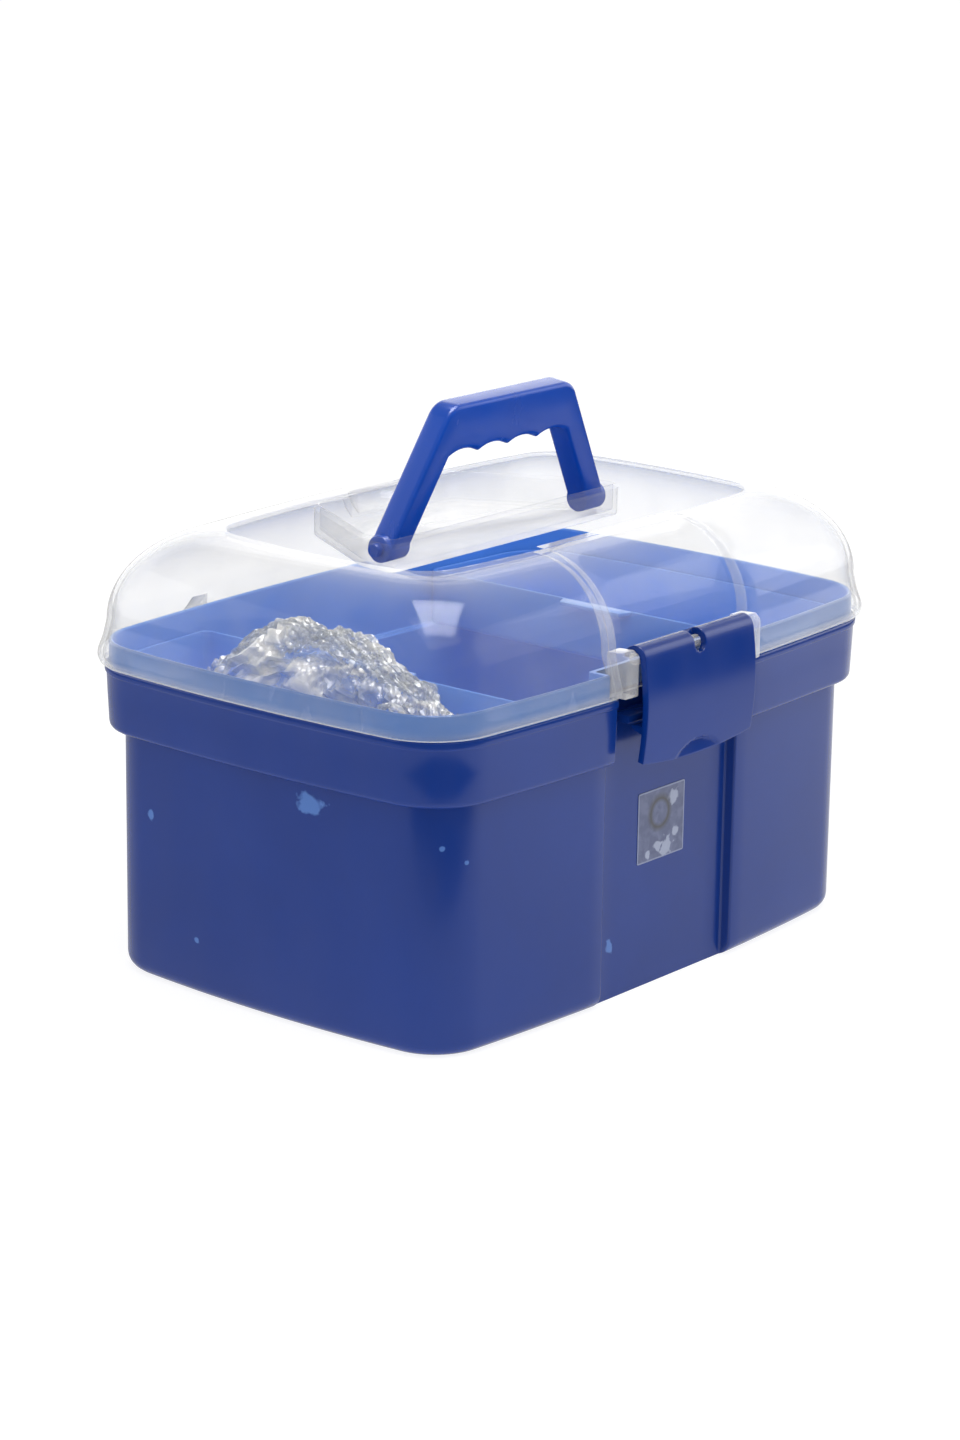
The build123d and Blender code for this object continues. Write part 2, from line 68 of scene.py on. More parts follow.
class NodeKit:
    """Short calls for wiring one material's nodes."""

    def __init__(self, name: str) -> None:
        """Start an empty node material.

        Args:
            name: the material's name.
        """
        self.material = bpy.data.materials.new(name)
        self.material.use_nodes = True
        self.tree = self.material.node_tree
        self.tree.nodes.clear()
        self.output = self.tree.nodes.new("ShaderNodeOutputMaterial")
        self.shader = self.tree.nodes.new("ShaderNodeBsdfPrincipled")
        self.tree.links.new(self.shader.outputs[0], self.output.inputs["Surface"])
        self.place = self.tree.nodes.new("ShaderNodeTexCoord").outputs["Object"]

    def link(self, source: bpy.types.NodeSocket, target: bpy.types.NodeSocket) -> None:
        """Join two sockets."""
        self.tree.links.new(source, target)

    def noise(self, scale: float, detail: float = 3.0, stretch: Colour = (1.0, 1.0, 1.0),
              distortion: float = 0.0) -> bpy.types.NodeSocket:
        """Noise over the piece.

        Args:
            scale: cells per metre.
            detail: octaves.
            stretch: scale along each axis.
            distortion: how far the noise is warped.

        Returns:
            The noise's value socket.
        """
        mapping = self.tree.nodes.new("ShaderNodeMapping")
        mapping.inputs["Scale"].default_value = stretch
        self.link(self.place, mapping.inputs["Vector"])
        texture = self.tree.nodes.new("ShaderNodeTexNoise")
        texture.inputs["Scale"].default_value = scale
        texture.inputs["Detail"].default_value = detail
        texture.inputs["Distortion"].default_value = distortion
        self.link(mapping.outputs[0], texture.inputs["Vector"])
        return texture.outputs[0]

    def spread(self, source: bpy.types.NodeSocket, low: float, high: float, to_low: float = 0.0,
               to_high: float = 1.0) -> bpy.types.NodeSocket:
        """Remap a value from one range to another, clamped.

        Args:
            source: the value.
            low: start of the range read.
            high: end of the range read.
            to_low: what the start becomes.
            to_high: what the end becomes.

        Returns:
            The remapped value's socket.
        """
        node = self.tree.nodes.new("ShaderNodeMapRange")
        node.inputs["From Min"].default_value = low
        node.inputs["From Max"].default_value = high
        node.inputs["To Min"].default_value = to_low
        node.inputs["To Max"].default_value = to_high
        self.link(source, node.inputs["Value"])
        return node.outputs["Result"]

    def maths(self, operation: str, first: bpy.types.NodeSocket,
              second: bpy.types.NodeSocket | float) -> bpy.types.NodeSocket:
        """One step of arithmetic.

        Args:
            operation: the Math node's operation.
            first: first value.
            second: second value, or a number.

        Returns:
            The result's socket.
        """
        node = self.tree.nodes.new("ShaderNodeMath")
        node.operation = operation
        self.link(first, node.inputs[0])
        if isinstance(second, (int, float)):
            node.inputs[1].default_value = second
        else:
            self.link(second, node.inputs[1])
        return node.outputs[0]

    def mix(self, share: bpy.types.NodeSocket, first: bpy.types.NodeSocket | Colour,
            second: Colour) -> bpy.types.NodeSocket:
        """Mix a colour into another.

        Args:
            share: how much of the second shows.
            first: a colour, or a colour's socket.
            second: the colour mixed in.

        Returns:
            The mixed colour's socket.
        """
        node = self.tree.nodes.new("ShaderNodeMix")
        node.data_type = "RGBA"
        self.link(share, node.inputs[0])
        if isinstance(first, tuple):
            node.inputs[6].default_value = (*first, 1.0)
        else:
            self.link(first, node.inputs[6])
        node.inputs[7].default_value = (*second, 1.0)
        return node.outputs[2]

    def spot(self, centre: Colour, radius: float, stretch: Colour,
             ragged: bpy.types.NodeSocket) -> bpy.types.NodeSocket:
        """A ragged spot about a place on the piece.

        Args:
            centre: its middle, in metres.
            radius: its radius, in metres.
            stretch: how much narrower it is along each axis.
            ragged: noise that breaks its edge.

        Returns:
            A mask socket, 1 inside.
        """
        mapping = self.tree.nodes.new("ShaderNodeMapping")
        mapping.vector_type = "POINT"
        mapping.inputs["Location"].default_value = [-c * s for c, s in zip(centre, stretch)]
        mapping.inputs["Scale"].default_value = stretch
        self.link(self.place, mapping.inputs["Vector"])
        reach = self.tree.nodes.new("ShaderNodeVectorMath")
        reach.operation = "LENGTH"
        self.link(mapping.outputs[0], reach.inputs[0])
        warped = self.maths("MULTIPLY", reach.outputs["Value"], self.spread(ragged, 0.2, 0.8, 0.45, 1.75))
        return self.spread(warped, radius * 0.7, radius, 1.0, 0.0)

    def bump(self, height: bpy.types.NodeSocket, strength: float, depth: float) -> None:
        """Give the shader a bump.

        Args:
            height: the height's socket.
            strength: share of the bump used.
            depth: height in metres.
        """
        node = self.tree.nodes.new("ShaderNodeBump")
        node.inputs["Strength"].default_value = strength
        node.inputs["Distance"].default_value = depth
        self.link(height, node.inputs["Height"])
        self.link(node.outputs[0], self.shader.inputs["Normal"])


@dataclass(frozen=True)
class Scuff:
    """A pale mark rubbed into a plastic face."""

    centre: Colour
    radius: float
    stretch: Colour = (1.0, 1.0, 1.0)


@dataclass(frozen=True)
class PlasticFinish:
    """Moulded coloured plastic, glossy, with slight flow marks."""

    name: str
    colour: Colour
    deep: Colour
    roughness: float = 0.16
    worn: float = 0.10
    specular: float = 0.5
    ripple: float = 0.25
    scuffs: tuple[Scuff, ...] = ()
    scuff_colour: Colour = (0.075, 0.18, 0.48)
    # through: colour of a painted glow, for light that comes through thin walls
    through: Colour = (0.0, 0.0, 0.0)

    def build(self) -> bpy.types.Material:
        """Wire the material.

        Returns:
            The new material.
        """
        kit = NodeKit(self.name)
        flow = kit.noise(11.0, 4.0, distortion=0.6)
        colour = kit.mix(kit.spread(flow, 0.35, 0.68), self.colour, self.deep)
        if self.scuffs:
            ragged = kit.noise(230.0, 3.0)
            for scuff in self.scuffs:
                mask = kit.spot(scuff.centre, scuff.radius, scuff.stretch, ragged)
                colour = kit.mix(kit.maths("MULTIPLY", mask, 0.8), colour, self.scuff_colour)
        kit.link(colour, kit.shader.inputs["Base Color"])
        rub = kit.noise(60.0, 6.0, (1.0, 1.0, 0.35))
        kit.link(kit.spread(rub, 0.35, 0.75, self.roughness, self.roughness + self.worn),
                 kit.shader.inputs["Roughness"])
        kit.shader.inputs["Specular IOR Level"].default_value = self.specular
        # painted glow: an emission that stands in for light coming through the thin blue walls; the plastic is no
        # lamp
        if any(self.through):
            kit.shader.inputs["Emission Color"].default_value = (*self.through, 1.0)
            kit.shader.inputs["Emission Strength"].default_value = 1.0
        kit.bump(kit.noise(26.0, 2.0), self.ripple, 0.0006)
        return kit.material


@dataclass(frozen=True)
class ClearFinish:
    """Clear moulded plastic with a little milk in it and fine rubbing marks.

    Each skin of the wall lets most light straight through, whitens it a little, and shines more
    the more it is seen edge on.
    """

    name: str
    tint: Colour = (0.76, 0.75, 0.725)
    milk: float = 0.05
    edge_milk: float = 0.20
    roughness: float = 0.04
    ior: float = 2.3

    def build(self) -> bpy.types.Material:
        """Wire the material.

        Returns:
            The new material.
        """
        kit = NodeKit(self.name)
        rub = kit.noise(35.0, 5.0, (1.0, 1.6, 1.0), 0.4)
        kit.link(kit.mix(kit.spread(rub, 0.4, 0.7), self.tint, tuple(c * 0.97 for c in self.tint)),
                 kit.shader.inputs["Base Color"])
        kit.link(kit.spread(rub, 0.4, 0.8, self.roughness, self.roughness + 0.06),
                 kit.shader.inputs["Roughness"])
        kit.shader.inputs["IOR"].default_value = self.ior
        facing = kit.tree.nodes.new("ShaderNodeLayerWeight")
        facing.inputs["Blend"].default_value = 0.5
        tilt = facing.outputs["Facing"]
        shine = kit.maths("POWER", tilt, 4.2)
        film = kit.maths("MULTIPLY", kit.maths("POWER", tilt, 2.0), self.edge_milk)
        cloud = kit.spread(rub, 0.35, 0.75, self.milk * 0.8, self.milk * 1.4)
        kit.link(kit.maths("ADD", kit.maths("ADD", shine, film), cloud),
                 kit.shader.inputs["Alpha"])
        kit.bump(kit.noise(17.0, 1.0), 0.05, 0.0006)
        return kit.material


@dataclass(frozen=True)
class FilmFinish:
    """Thin crinkled film, glossy and half clear."""

    name: str = "pouch_film"
    colour: Colour = (0.50, 0.53, 0.55)
    # pale: colour of painted highlights, the white surroundings mirrored in the film
    pale: Colour = (0.86, 0.83, 0.77)

    def build(self) -> bpy.types.Material:
        """Wire the material.

        Returns:
            The new material.
        """
        kit = NodeKit(self.name)
        glint_patch = kit.noise(90.0, 5.0, (1.0, 0.6, 1.0), 0.8)
        # the pale patches are painted highlights: reflections of the white surroundings put into the film's colour;
        # the same patches are less clear
        kit.link(kit.mix(kit.spread(glint_patch, 0.42, 0.66), self.colour, self.pale),
                 kit.shader.inputs["Base Color"])
        kit.link(kit.spread(glint_patch, 0.34, 0.62, 0.34, 0.78), kit.shader.inputs["Alpha"])
        kit.shader.inputs["Roughness"].default_value = 0.16
        kit.shader.inputs["Specular IOR Level"].default_value = 0.9
        kit.shader.inputs["Coat Weight"].default_value = 0.6
        kit.shader.inputs["Coat Roughness"].default_value = 0.08
        kit.bump(kit.noise(420.0, 4.0, distortion=1.2), 0.6, 0.0008)
        return kit.material


@dataclass(frozen=True)
class SteelFinish:
    """Bright drawn steel."""

    name: str = "pin_steel"

    def build(self) -> bpy.types.Material:
        """Wire the material.

        Returns:
            The new material.
        """
        kit = NodeKit(self.name)
        grain = kit.noise(900.0, 2.0, (0.05, 1.0, 1.0))
        kit.link(kit.mix(grain, (0.55, 0.56, 0.57), (0.72, 0.72, 0.73)),
                 kit.shader.inputs["Base Color"])
        kit.link(kit.spread(grain, 0.3, 0.7, 0.22, 0.38), kit.shader.inputs["Roughness"])
        kit.shader.inputs["Metallic"].default_value = 1.0
        return kit.material


@dataclass(frozen=True)
class LabelFinish:
    """Stuck-on silvery film with a plain printed ring and a sprig of spots."""

    middle: Colour
    half: Point2
    name: str = "label_film"

    def build(self) -> bpy.types.Material:
        """Wire the material.

        Returns:
            The new material.
        """
        kit = NodeKit(self.name)
        ragged = kit.noise(300.0, 2.0)
        shimmer = kit.noise(210.0, 4.0, distortion=0.5)
        colour = kit.mix(kit.spread(shimmer, 0.4, 0.62), (0.062, 0.078, 0.165), (0.095, 0.115, 0.215))
        x, y, z = self.middle
        for across, up, reach in ((0.0085, 0.0100, 0.0040), (-0.0020, -0.0100, 0.0030),
                                  (0.0040, -0.0120, 0.0046), (0.0100, -0.0060, 0.0026),
                                  (-0.0090, -0.0125, 0.0022)):
            bloom = kit.spot((x + across, y, z + up), reach, (1.0, 0.0, 1.0), ragged)
            colour = kit.mix(kit.maths("MULTIPLY", bloom, 0.7), colour, (0.34, 0.38, 0.50))
        outer = kit.spot((x - 0.001, y, z + 0.0045), 0.0115, (1.0, 0.0, 1.0), kit.noise(5.0, 0.0))
        inner = kit.spot((x - 0.001, y, z + 0.0045), 0.0080, (1.0, 0.0, 1.0), kit.noise(5.0, 0.0))
        ring = kit.maths("SUBTRACT", outer, inner)
        colour = kit.mix(kit.maths("MULTIPLY", ring, 0.85), colour, (0.030, 0.030, 0.026))
        split = kit.tree.nodes.new("ShaderNodeSeparateXYZ")
        kit.link(kit.place, split.inputs[0])
        for axis, centre, reach in ((0, x, self.half[0]), (2, z, self.half[1])):
            away = kit.maths("ABSOLUTE", kit.maths("SUBTRACT", split.outputs[axis], centre), 0.0)
            edge = kit.spread(away, reach - 0.0008, reach - 0.0005)
            colour = kit.mix(kit.maths("MULTIPLY", edge, 0.7), colour, (0.22, 0.26, 0.40))
        kit.link(colour, kit.shader.inputs["Base Color"])
        kit.shader.inputs["Roughness"].default_value = 0.22
        kit.shader.inputs["Coat Weight"].default_value = 0.3
        kit.bump(shimmer, 0.12, 0.0002)
        return kit.material


# ---- Shape tools ------------------------------------------------------------------------


def arc(centre: Point2, start: Point2, end: Point2, steps: int) -> list[Point2]:
    """Points along the shorter arc about a centre, both ends included.

    Args:
        centre: the arc's centre.
        start: its first point.
        end: its last point.
        steps: number of runs.

    Returns:
        The points.
    """
    first = atan2(start[1] - centre[1], start[0] - centre[0])
    last = atan2(end[1] - centre[1], end[0] - centre[0])
    turn = (last - first + pi) % (2 * pi) - pi
    r0 = hypot(start[0] - centre[0], start[1] - centre[1])
    r1 = hypot(end[0] - centre[0], end[1] - centre[1])
    points = []
    for step in range(steps + 1):
        share = step / steps
        radius = r0 + (r1 - r0) * share
        angle = first + turn * share
        points.append((centre[0] + radius * cos(angle), centre[1] + radius * sin(angle)))
    return points


def blend_rows(keys: list[tuple[float, ...]], steps: int) -> list[tuple[float, ...]]:
    """A smooth run of values through some keys.

    Args:
        keys: tuples of equal length.
        steps: runs between each pair.

    Returns:
        The tuples along the smooth run.
    """
    rows = [keys[0]]
    for i in range(len(keys) - 1):
        before, a, b = keys[max(i - 1, 0)], keys[i], keys[i + 1]
        after = keys[min(i + 2, len(keys) - 1)]
        for step in range(1, steps + 1):
            t = step / steps
            rows.append(tuple(
                0.5 * (2 * q + (r - p) * t + (2 * p - 5 * q + 4 * r - s) * t**2
                       + (3 * q - p - 3 * r + s) * t**3)
                for p, q, r, s in zip(before, a, b, after)))
    return rows


@dataclass(frozen=True)
class Notch:
    """A square-sided channel let into the front of a ring."""

    half_width: float
    face: float


@dataclass(frozen=True)
class BowedPlan:
    """The box's plan: a rectangle with bowed sides and round corners, in millimetres."""

    half_length: float = 160.0
    half_width: float = 108.7
    side_bow: float = 8.0
    end_bow: float = 6.55
    edge_round: float = 1.1

    def corner(self, end_inset: float, side_inset: float, radius: float
               ) -> tuple[Point2, float, Point2, float, Point2, Point2, Point2]:
        """Work out the front right corner.

        Args:
            end_inset: how far the ends are set in.
            side_inset: how far the front and back are set in.
            radius: the corner's radius.

        Returns:
            Side centre and radius, end centre and radius, corner centre, and where the corner
            meets the side and the end.
        """
        reach, depth = self.half_length - end_inset, self.half_width - side_inset
        side_radius = (reach**2 + self.side_bow**2) / (2 * self.side_bow)
        end_radius = (depth**2 + self.end_bow**2) / (2 * self.end_bow)
        side, end = (0.0, side_radius - depth), (reach - end_radius, 0.0)
        a, b = side_radius - radius, end_radius - radius
        span = hypot(end[0] - side[0], end[1] - side[1])
        ux, uy = (end[0] - side[0]) / span, (end[1] - side[1]) / span
        along = (a * a - b * b + span * span) / (2 * span)
        off = sqrt(a * a - along * along)
        centre = max(((side[0] + along * ux - off * uy * s, side[1] + along * uy + off * ux * s)
                      for s in (-1, 1)), key=lambda p: p[0] - p[1])
        on_side = tuple(side[i] + (centre[i] - side[i]) / a * side_radius for i in (0, 1))
        on_end = tuple(end[i] + (centre[i] - end[i]) / b * end_radius for i in (0, 1))
        return side, side_radius, end, end_radius, centre, on_side, on_end

    def ring(self, end_inset: float, side_inset: float, radius: float,
             notch: Notch | None = None) -> list[Point2]:
        """The whole outline, anticlockwise from the middle of the front.

        Args:
            end_inset: how far the ends are set in.
            side_inset: how far the front and back are set in.
            radius: the corner's radius.
            notch: the channel at this height.

        Returns:
            The outline's points, always the same number.
        """
        side, side_radius, end, end_radius, centre, on_side, on_end = self.corner(
            end_inset, side_inset, radius)

        def wall(x: float) -> float:
            return side[1] - sqrt(side_radius**2 - x * x)

        half = notch.half_width if notch else 46.0
        depth = max(0.0, notch.face - wall(half)) if notch else 0.0
        bend = min(self.edge_round, depth / 2.01)
        points: list[Point2] = [(x, max(wall(x), notch.face if notch else wall(x)))
                                for x in (0.0, half * 0.35, half * 0.7)]
        if depth > 0:
            face, edge = notch.face, wall(half + bend)
            points += arc((half - bend, face - bend), (half - bend, face), (half, face - bend), 3)
            points += arc((half + bend, edge + bend), (half, edge + bend), (half + bend, edge), 3)
        else:
            points += [(half + self.edge_round * k / 4, wall(half + self.edge_round * k / 4))
                       for k in range(-4, 4)]
        start = points[-1][0]
        for k in range(1, 9):
            x = start + (on_side[0] - start) * k / 9
            points.append((x, wall(x)))
        points += arc(centre, on_side, on_end, 16)
        points += [p for p in arc(end, on_end, (end[0] + end_radius, 0.0), 7)[1:]]
        back = [(x, -y) for x, y in reversed(points[:-1])]
        flat = [(x, -wall(x)) for x, y in back if x < on_side[0] - 0.01]
        right = points + back[:len(back) - len(flat)] + flat
        left = [(-x, y) for x, y in reversed(right[1:-1])]
        return right + left

    def tray_ring(self, end_inset: float, side_inset: float, radius: float, inner_x: float,
                  inner_radius: float) -> list[Point2]:
        """The outline of a tray at the right end.

        Args:
            end_inset: how far the end is set in.
            side_inset: how far the front and back are set in.
            radius: the outer corners' radius.
            inner_x: X of the wall that faces the middle.
            inner_radius: radius of that wall's corners.

        Returns:
            The outline's points, anticlockwise.
        """
        side, side_radius, end, end_radius, centre, on_side, on_end = self.corner(
            end_inset, side_inset, radius)
        mid_x = inner_x + inner_radius
        turn = (mid_x, side[1] - sqrt((side_radius - inner_radius)**2 - mid_x**2))
        share = side_radius / (side_radius - inner_radius)
        touch = (turn[0] * share, side[1] + (turn[1] - side[1]) * share)
        points = [(inner_x, 0.0), (inner_x, turn[1] / 2)]
        points += arc(turn, (inner_x, turn[1]), touch, 6)
        points += arc(side, touch, on_side, 5)[1:-1]
        points += arc(centre, on_side, on_end, 14)
        points += arc(end, on_end, (end[0] + end_radius, 0.0), 7)[1:]
        return points + [(x, -y) for x, y in reversed(points[1:-1])]


PLAN = BowedPlan()


class Skin:
    """A skin grown row by row from one ring of points."""

    def __init__(self, count: int, bm: bmesh.types.BMesh | None = None) -> None:
        """Start a ring.

        Args:
            count: points in the ring.
            bm: a mesh to add to, or None for a new one.
        """
        self.bm = bm or bmesh.new()
        self.station = (self.bm.verts.layers.int.get("station")
                        or self.bm.verts.layers.int.new("station"))
        ring = bmesh.ops.create_circle(self.bm, segments=count, radius=1.0)["verts"]
        self.verts = list(ring)
        for index, vert in enumerate(self.verts):
            vert[self.station] = index
        self.edges = self._loop(set(self.verts))
        self.placed = False
        self.slot = 0

    @staticmethod
    def _loop(verts: set[bmesh.types.BMVert]) -> list[bmesh.types.BMEdge]:
        """The edges that join these vertices to each other."""
        return list({e for v in verts for e in v.link_edges if e.other_vert(v) in verts})

    def row(self, points: list[Point2], height: float) -> None:
        """Grow the skin by one row.

        Args:
            points: the row's outline.
            height: its Z.
        """
        if self.placed:
            grown = bmesh.ops.extrude_edge_only(self.bm, edges=self.edges)["geom"]
            self.verts = [g for g in grown if isinstance(g, bmesh.types.BMVert)]
            for face in (g for g in grown if isinstance(g, bmesh.types.BMFace)):
                face.material_index = self.slot
            self.edges = self._loop(set(self.verts))
        for vert in self.verts:
            vert.co = (*points[vert[self.station]], height)
        self.placed = True

    def cap(self) -> None:
        """Close the last row with one face."""
        made = bmesh.ops.contextual_create(self.bm, geom=self.edges)["faces"]
        for face in made:
            face.material_index = self.slot


def prism(bm: bmesh.types.BMesh, outline: list[Point2], start: float, end: float,
          bevel: float = 0.0, segments: int = 2) -> list[bmesh.types.BMVert]:
    """Add a prism along X whose end faces are an outline in YZ.

    Args:
        bm: the mesh.
        outline: the YZ points.
        start: X of one end.
        end: X of the other.
        bevel: how far its edges are rounded.
        segments: steps in that rounding.

    Returns:
        The prism's vertices.
    """
    verts = [bm.verts.new((start, y, z)) for y, z in outline]
    face = bm.faces.new(verts)
    grown = bmesh.ops.extrude_face_region(bm, geom=[face], use_keep_orig=True)["geom"]
    moved = [g for g in grown if isinstance(g, bmesh.types.BMVert)]
    bmesh.ops.translate(bm, verts=moved, vec=(end - start, 0.0, 0.0))
    made = verts + moved
    if bevel:
        inside = set(made)
        edges = [e for e in bm.edges if e.verts[0] in inside and e.verts[1] in inside
                 and (len(e.link_faces) != 2 or e.calc_face_angle(0.0) > radians(25))]
        bmesh.ops.bevel(bm, geom=edges, offset=bevel, offset_type="OFFSET", segments=segments,
                        profile=0.5, affect="EDGES", material=-1, clamp_overlap=True)
    return made


def rod(bm: bmesh.types.BMesh, y: float, z: float, radius: float, start: float, end: float,
        segments: int = 32, round_over: float = 0.4) -> None:
    """Add a rod along X with rounded ends.

    Args:
        bm: the mesh.
        y: its axis's Y.
        z: its axis's Z.
        radius: its radius.
        start: X of one end.
        end: X of the other.
        segments: sides.
        round_over: rounding of its ends.
    """
    outline = [(y + radius * cos(2 * pi * k / segments), z + radius * sin(2 * pi * k / segments))
               for k in range(segments)]
    prism(bm, outline, start, end, round_over)


def finish_piece(name: str, bm: bmesh.types.BMesh, body: str,
                 material: bpy.types.Material, node: str | None = None,
                 sharp: float = 38.0, recalc: bool = True) -> bpy.types.Object:
    """Turn a bmesh in millimetres into a piece in its place.

    Args:
        name: the piece's name.
        bm: its mesh, freed here.
        body: the CAD body it rides on.
        material: its material.
        node: the CAD node it stands for.
        sharp: angle in degrees past which an edge is sharp.
        recalc: whether to turn the faces outwards.

    Returns:
        The new object.
    """
    bmesh.ops.remove_doubles(bm, verts=bm.verts, dist=0.001)
    if recalc:
        bmesh.ops.recalc_face_normals(bm, faces=bm.faces)
    bmesh.ops.scale(bm, verts=bm.verts, vec=(MM, MM, MM))
    mesh = bpy.data.meshes.new(name)
    bm.to_mesh(mesh)
    bm.free()
    mesh.shade_smooth()
    mesh.set_sharp_from_angle(angle=radians(sharp))
    mesh.materials.append(material)
    piece = bpy.data.objects.new(name, mesh)
    bpy.context.scene.collection.objects.link(piece)
    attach(piece, body)
    if node:
        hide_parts(node)
    log.info("%s: %d faces on %s", name, len(mesh.polygons), body)
    return piece


# ---- Tub --------------------------------------------------------------------------------


@dataclass
class Tub:
    """The blue tub: body, stepped collar, rim, hinge ears and catch ledge."""

    wall: float = 2.2
    floor: float = 2.6
    ledge: float = 109.2
    seat: float = 111.7
    shelf: float = 138.0
    rim_top: float = 148.6
    body: tuple[float, float, float] = (10.5, 6.4, 27.0)
    base_round: float = 7.0
    collar: tuple[float, float, float] = (3.9, 1.6, 30.3)
    collar_round: float = 3.0
    shelf_plan: tuple[float, float, float] = (2.7, 1.0, 30.9)
    bead: float = 0.7
    bead_height: float = 3.4
    rim_inset: float = 3.2
    rim_wall: float = 2.0
    hem_corner: float = 31.9
    channel: Notch = Notch(46.0, -96.1)
    rim_channel: Notch = Notch(48.6, -96.1)
    inner_rim_channel: Notch = Notch(50.6, -93.9)
    inner_channel: Notch = Notch(48.2, -93.9)

    def _row(self, skin: Skin, plan: tuple[float, float, float], inset: float, height: float,
             notch: Notch) -> None:
        """Grow a row set in from a plan by the same amount all round."""
        end, side, radius = plan
        skin.row(PLAN.ring(end + inset, side + inset, radius - inset, notch), height)

    def _outside(self, skin: Skin) -> None:
        """Grow the outside from the base to the shelf."""
        for step in range(7):
            turn = radians(15 * step)
            self._row(skin, self.body, self.base_round * (1 - sin(turn)),
                      self.base_round * (1 - cos(turn)), self.channel)
        for height in (20.0, 45.0, 75.0, 100.0, self.ledge - 0.8, self.ledge - 0.25):
            self._row(skin, self.body, 0.0, height, self.channel)
        self._row(skin, self.body, -0.35, self.ledge, self.channel)
        for step in range(5):
            turn = radians(22.5 * step)
            self._row(skin, self.collar, self.collar_round * (1 - sin(turn)),
                      self.ledge + self.collar_round * (1 - cos(turn)), self.channel)
        bead_low = self.shelf - self.bead_height
        for height, out in ((124.0, 0.0), (bead_low - 0.5, 0.0), (bead_low - 0.1, 0.12),
                            (bead_low + 0.3, self.bead - 0.1), (bead_low + 0.8, self.bead),
                            (self.shelf - 0.8, self.bead), (self.shelf - 0.25, self.bead - 0.25),
                            (self.shelf, self.bead - 0.8)):
            share = (height - self.ledge) / (self.shelf - self.ledge)
            plan = tuple(a + (b - a) * share for a, b in zip(self.collar, self.shelf_plan))
            self._row(skin, plan, -out, height, self.channel)

    def _rim(self, skin: Skin) -> None:
        """Grow the rim, over its top and down to the seat."""
        outer = (self.rim_inset, self.rim_inset, self.hem_corner - self.rim_inset)
        inset = self.rim_inset + self.rim_wall
        inner = (inset, inset, self.hem_corner - inset)
        # slot 2 takes the rim's painted-light copy of the blue
        skin.slot = 2
        self._row(skin, outer, -0.3, self.shelf, self.rim_channel)
        self._row(skin, outer, 0.0, self.shelf + 0.4, self.rim_channel)
        round_over = self.rim_wall / 2
        for step in range(5):
            turn = radians(22.5 * step)
            self._row(skin, outer, round_over * (1 - cos(turn)),
                      self.rim_top - round_over * (1 - sin(turn)), self.rim_channel)
        # slot 1 takes the inside's painted-light copy of the blue
        skin.slot = 1
        for step in range(1, 5):
            turn = radians(22.5 * step)
            self._row(skin, inner, -round_over * (1 - sin(turn)),
                      self.rim_top - round_over * (1 - cos(turn)), self.inner_rim_channel)
        self._row(skin, inner, 0.0, self.shelf - self.wall, self.inner_rim_channel)
        self._row(skin, inner, 0.0, self.shelf - self.wall - 0.5, self.inner_channel)
        seat = (self.collar[0] + self.wall, inset, self.hem_corner - inset)
        self._row(skin, seat, 0.0, self.seat + 0.8, self.inner_channel)
        self._row(skin, seat, 0.8, self.seat, self.inner_channel)

    def _inside(self, skin: Skin) -> None:
        """Grow the well down to the floor."""
        well = (self.body[0] + self.wall, self.body[1] + self.wall, self.body[2] - self.wall)
        self._row(skin, well, -0.6, self.seat, self.inner_channel)
        self._row(skin, well, 0.0, self.seat - 0.6, self.inner_channel)
        bend = self.base_round - self.wall
        for step in range(7):
            turn = radians(15 * step)
            self._row(skin, well, bend * (1 - cos(turn)),
                      self.floor + bend * (1 - sin(turn)), self.inner_channel)

    def build(self, material: bpy.types.Material, inside: bpy.types.Material,
              rim: bpy.types.Material) -> None:
        """Make the tub's pieces.

        Args:
            material: the blue plastic.
            inside: a lighter, glowing copy of the same plastic, painted light for the light that comes through its
                walls.
            rim: a lighter copy of the same plastic for the rim's thin outer face, painted light.
        """
        count = len(PLAN.ring(*self.body))
        skin = Skin(count)
        self._row(skin, self.body, self.base_round, 0.0, self.channel)
        skin.cap()
        self._outside(skin)
        self._rim(skin)
        self._inside(skin)
        skin.cap()
        shell = finish_piece("tub_shell", skin.bm, "box", material, "tub")
        shell.data.materials.append(inside)
        shell.data.materials.append(rim)

        bm = bmesh.new()
        prism(bm, [(-95.6, 125.0), (-95.6, 128.5), (-104.6, 128.5), (-105.1, 128.0),
                   (-105.1, 125.5), (-104.6, 125.0)], -36.3, 36.3, 0.4)
        finish_piece("tub_catch", bm, "box", material)

        bm = bmesh.new()
        hinge_y, hinge_z, eye = 113.7, 141.0, 3.0
        for side in Side:
            for step in (-1, 1):
                middle = side.value * 72.0 + step * 7.8
                eye_arc = [(hinge_y + eye * cos(radians(a)), hinge_z + eye * sin(radians(a)))
                           for a in range(-60, 181, 20)]
                prism(bm, [(105.0, 129.4), *eye_arc, (105.0, 137.6)],
                      middle - 2.5, middle + 2.5, 0.3)
        finish_piece("tub_hinge_ears", bm, "box", material)


# ---- Lid --------------------------------------------------------------------------------


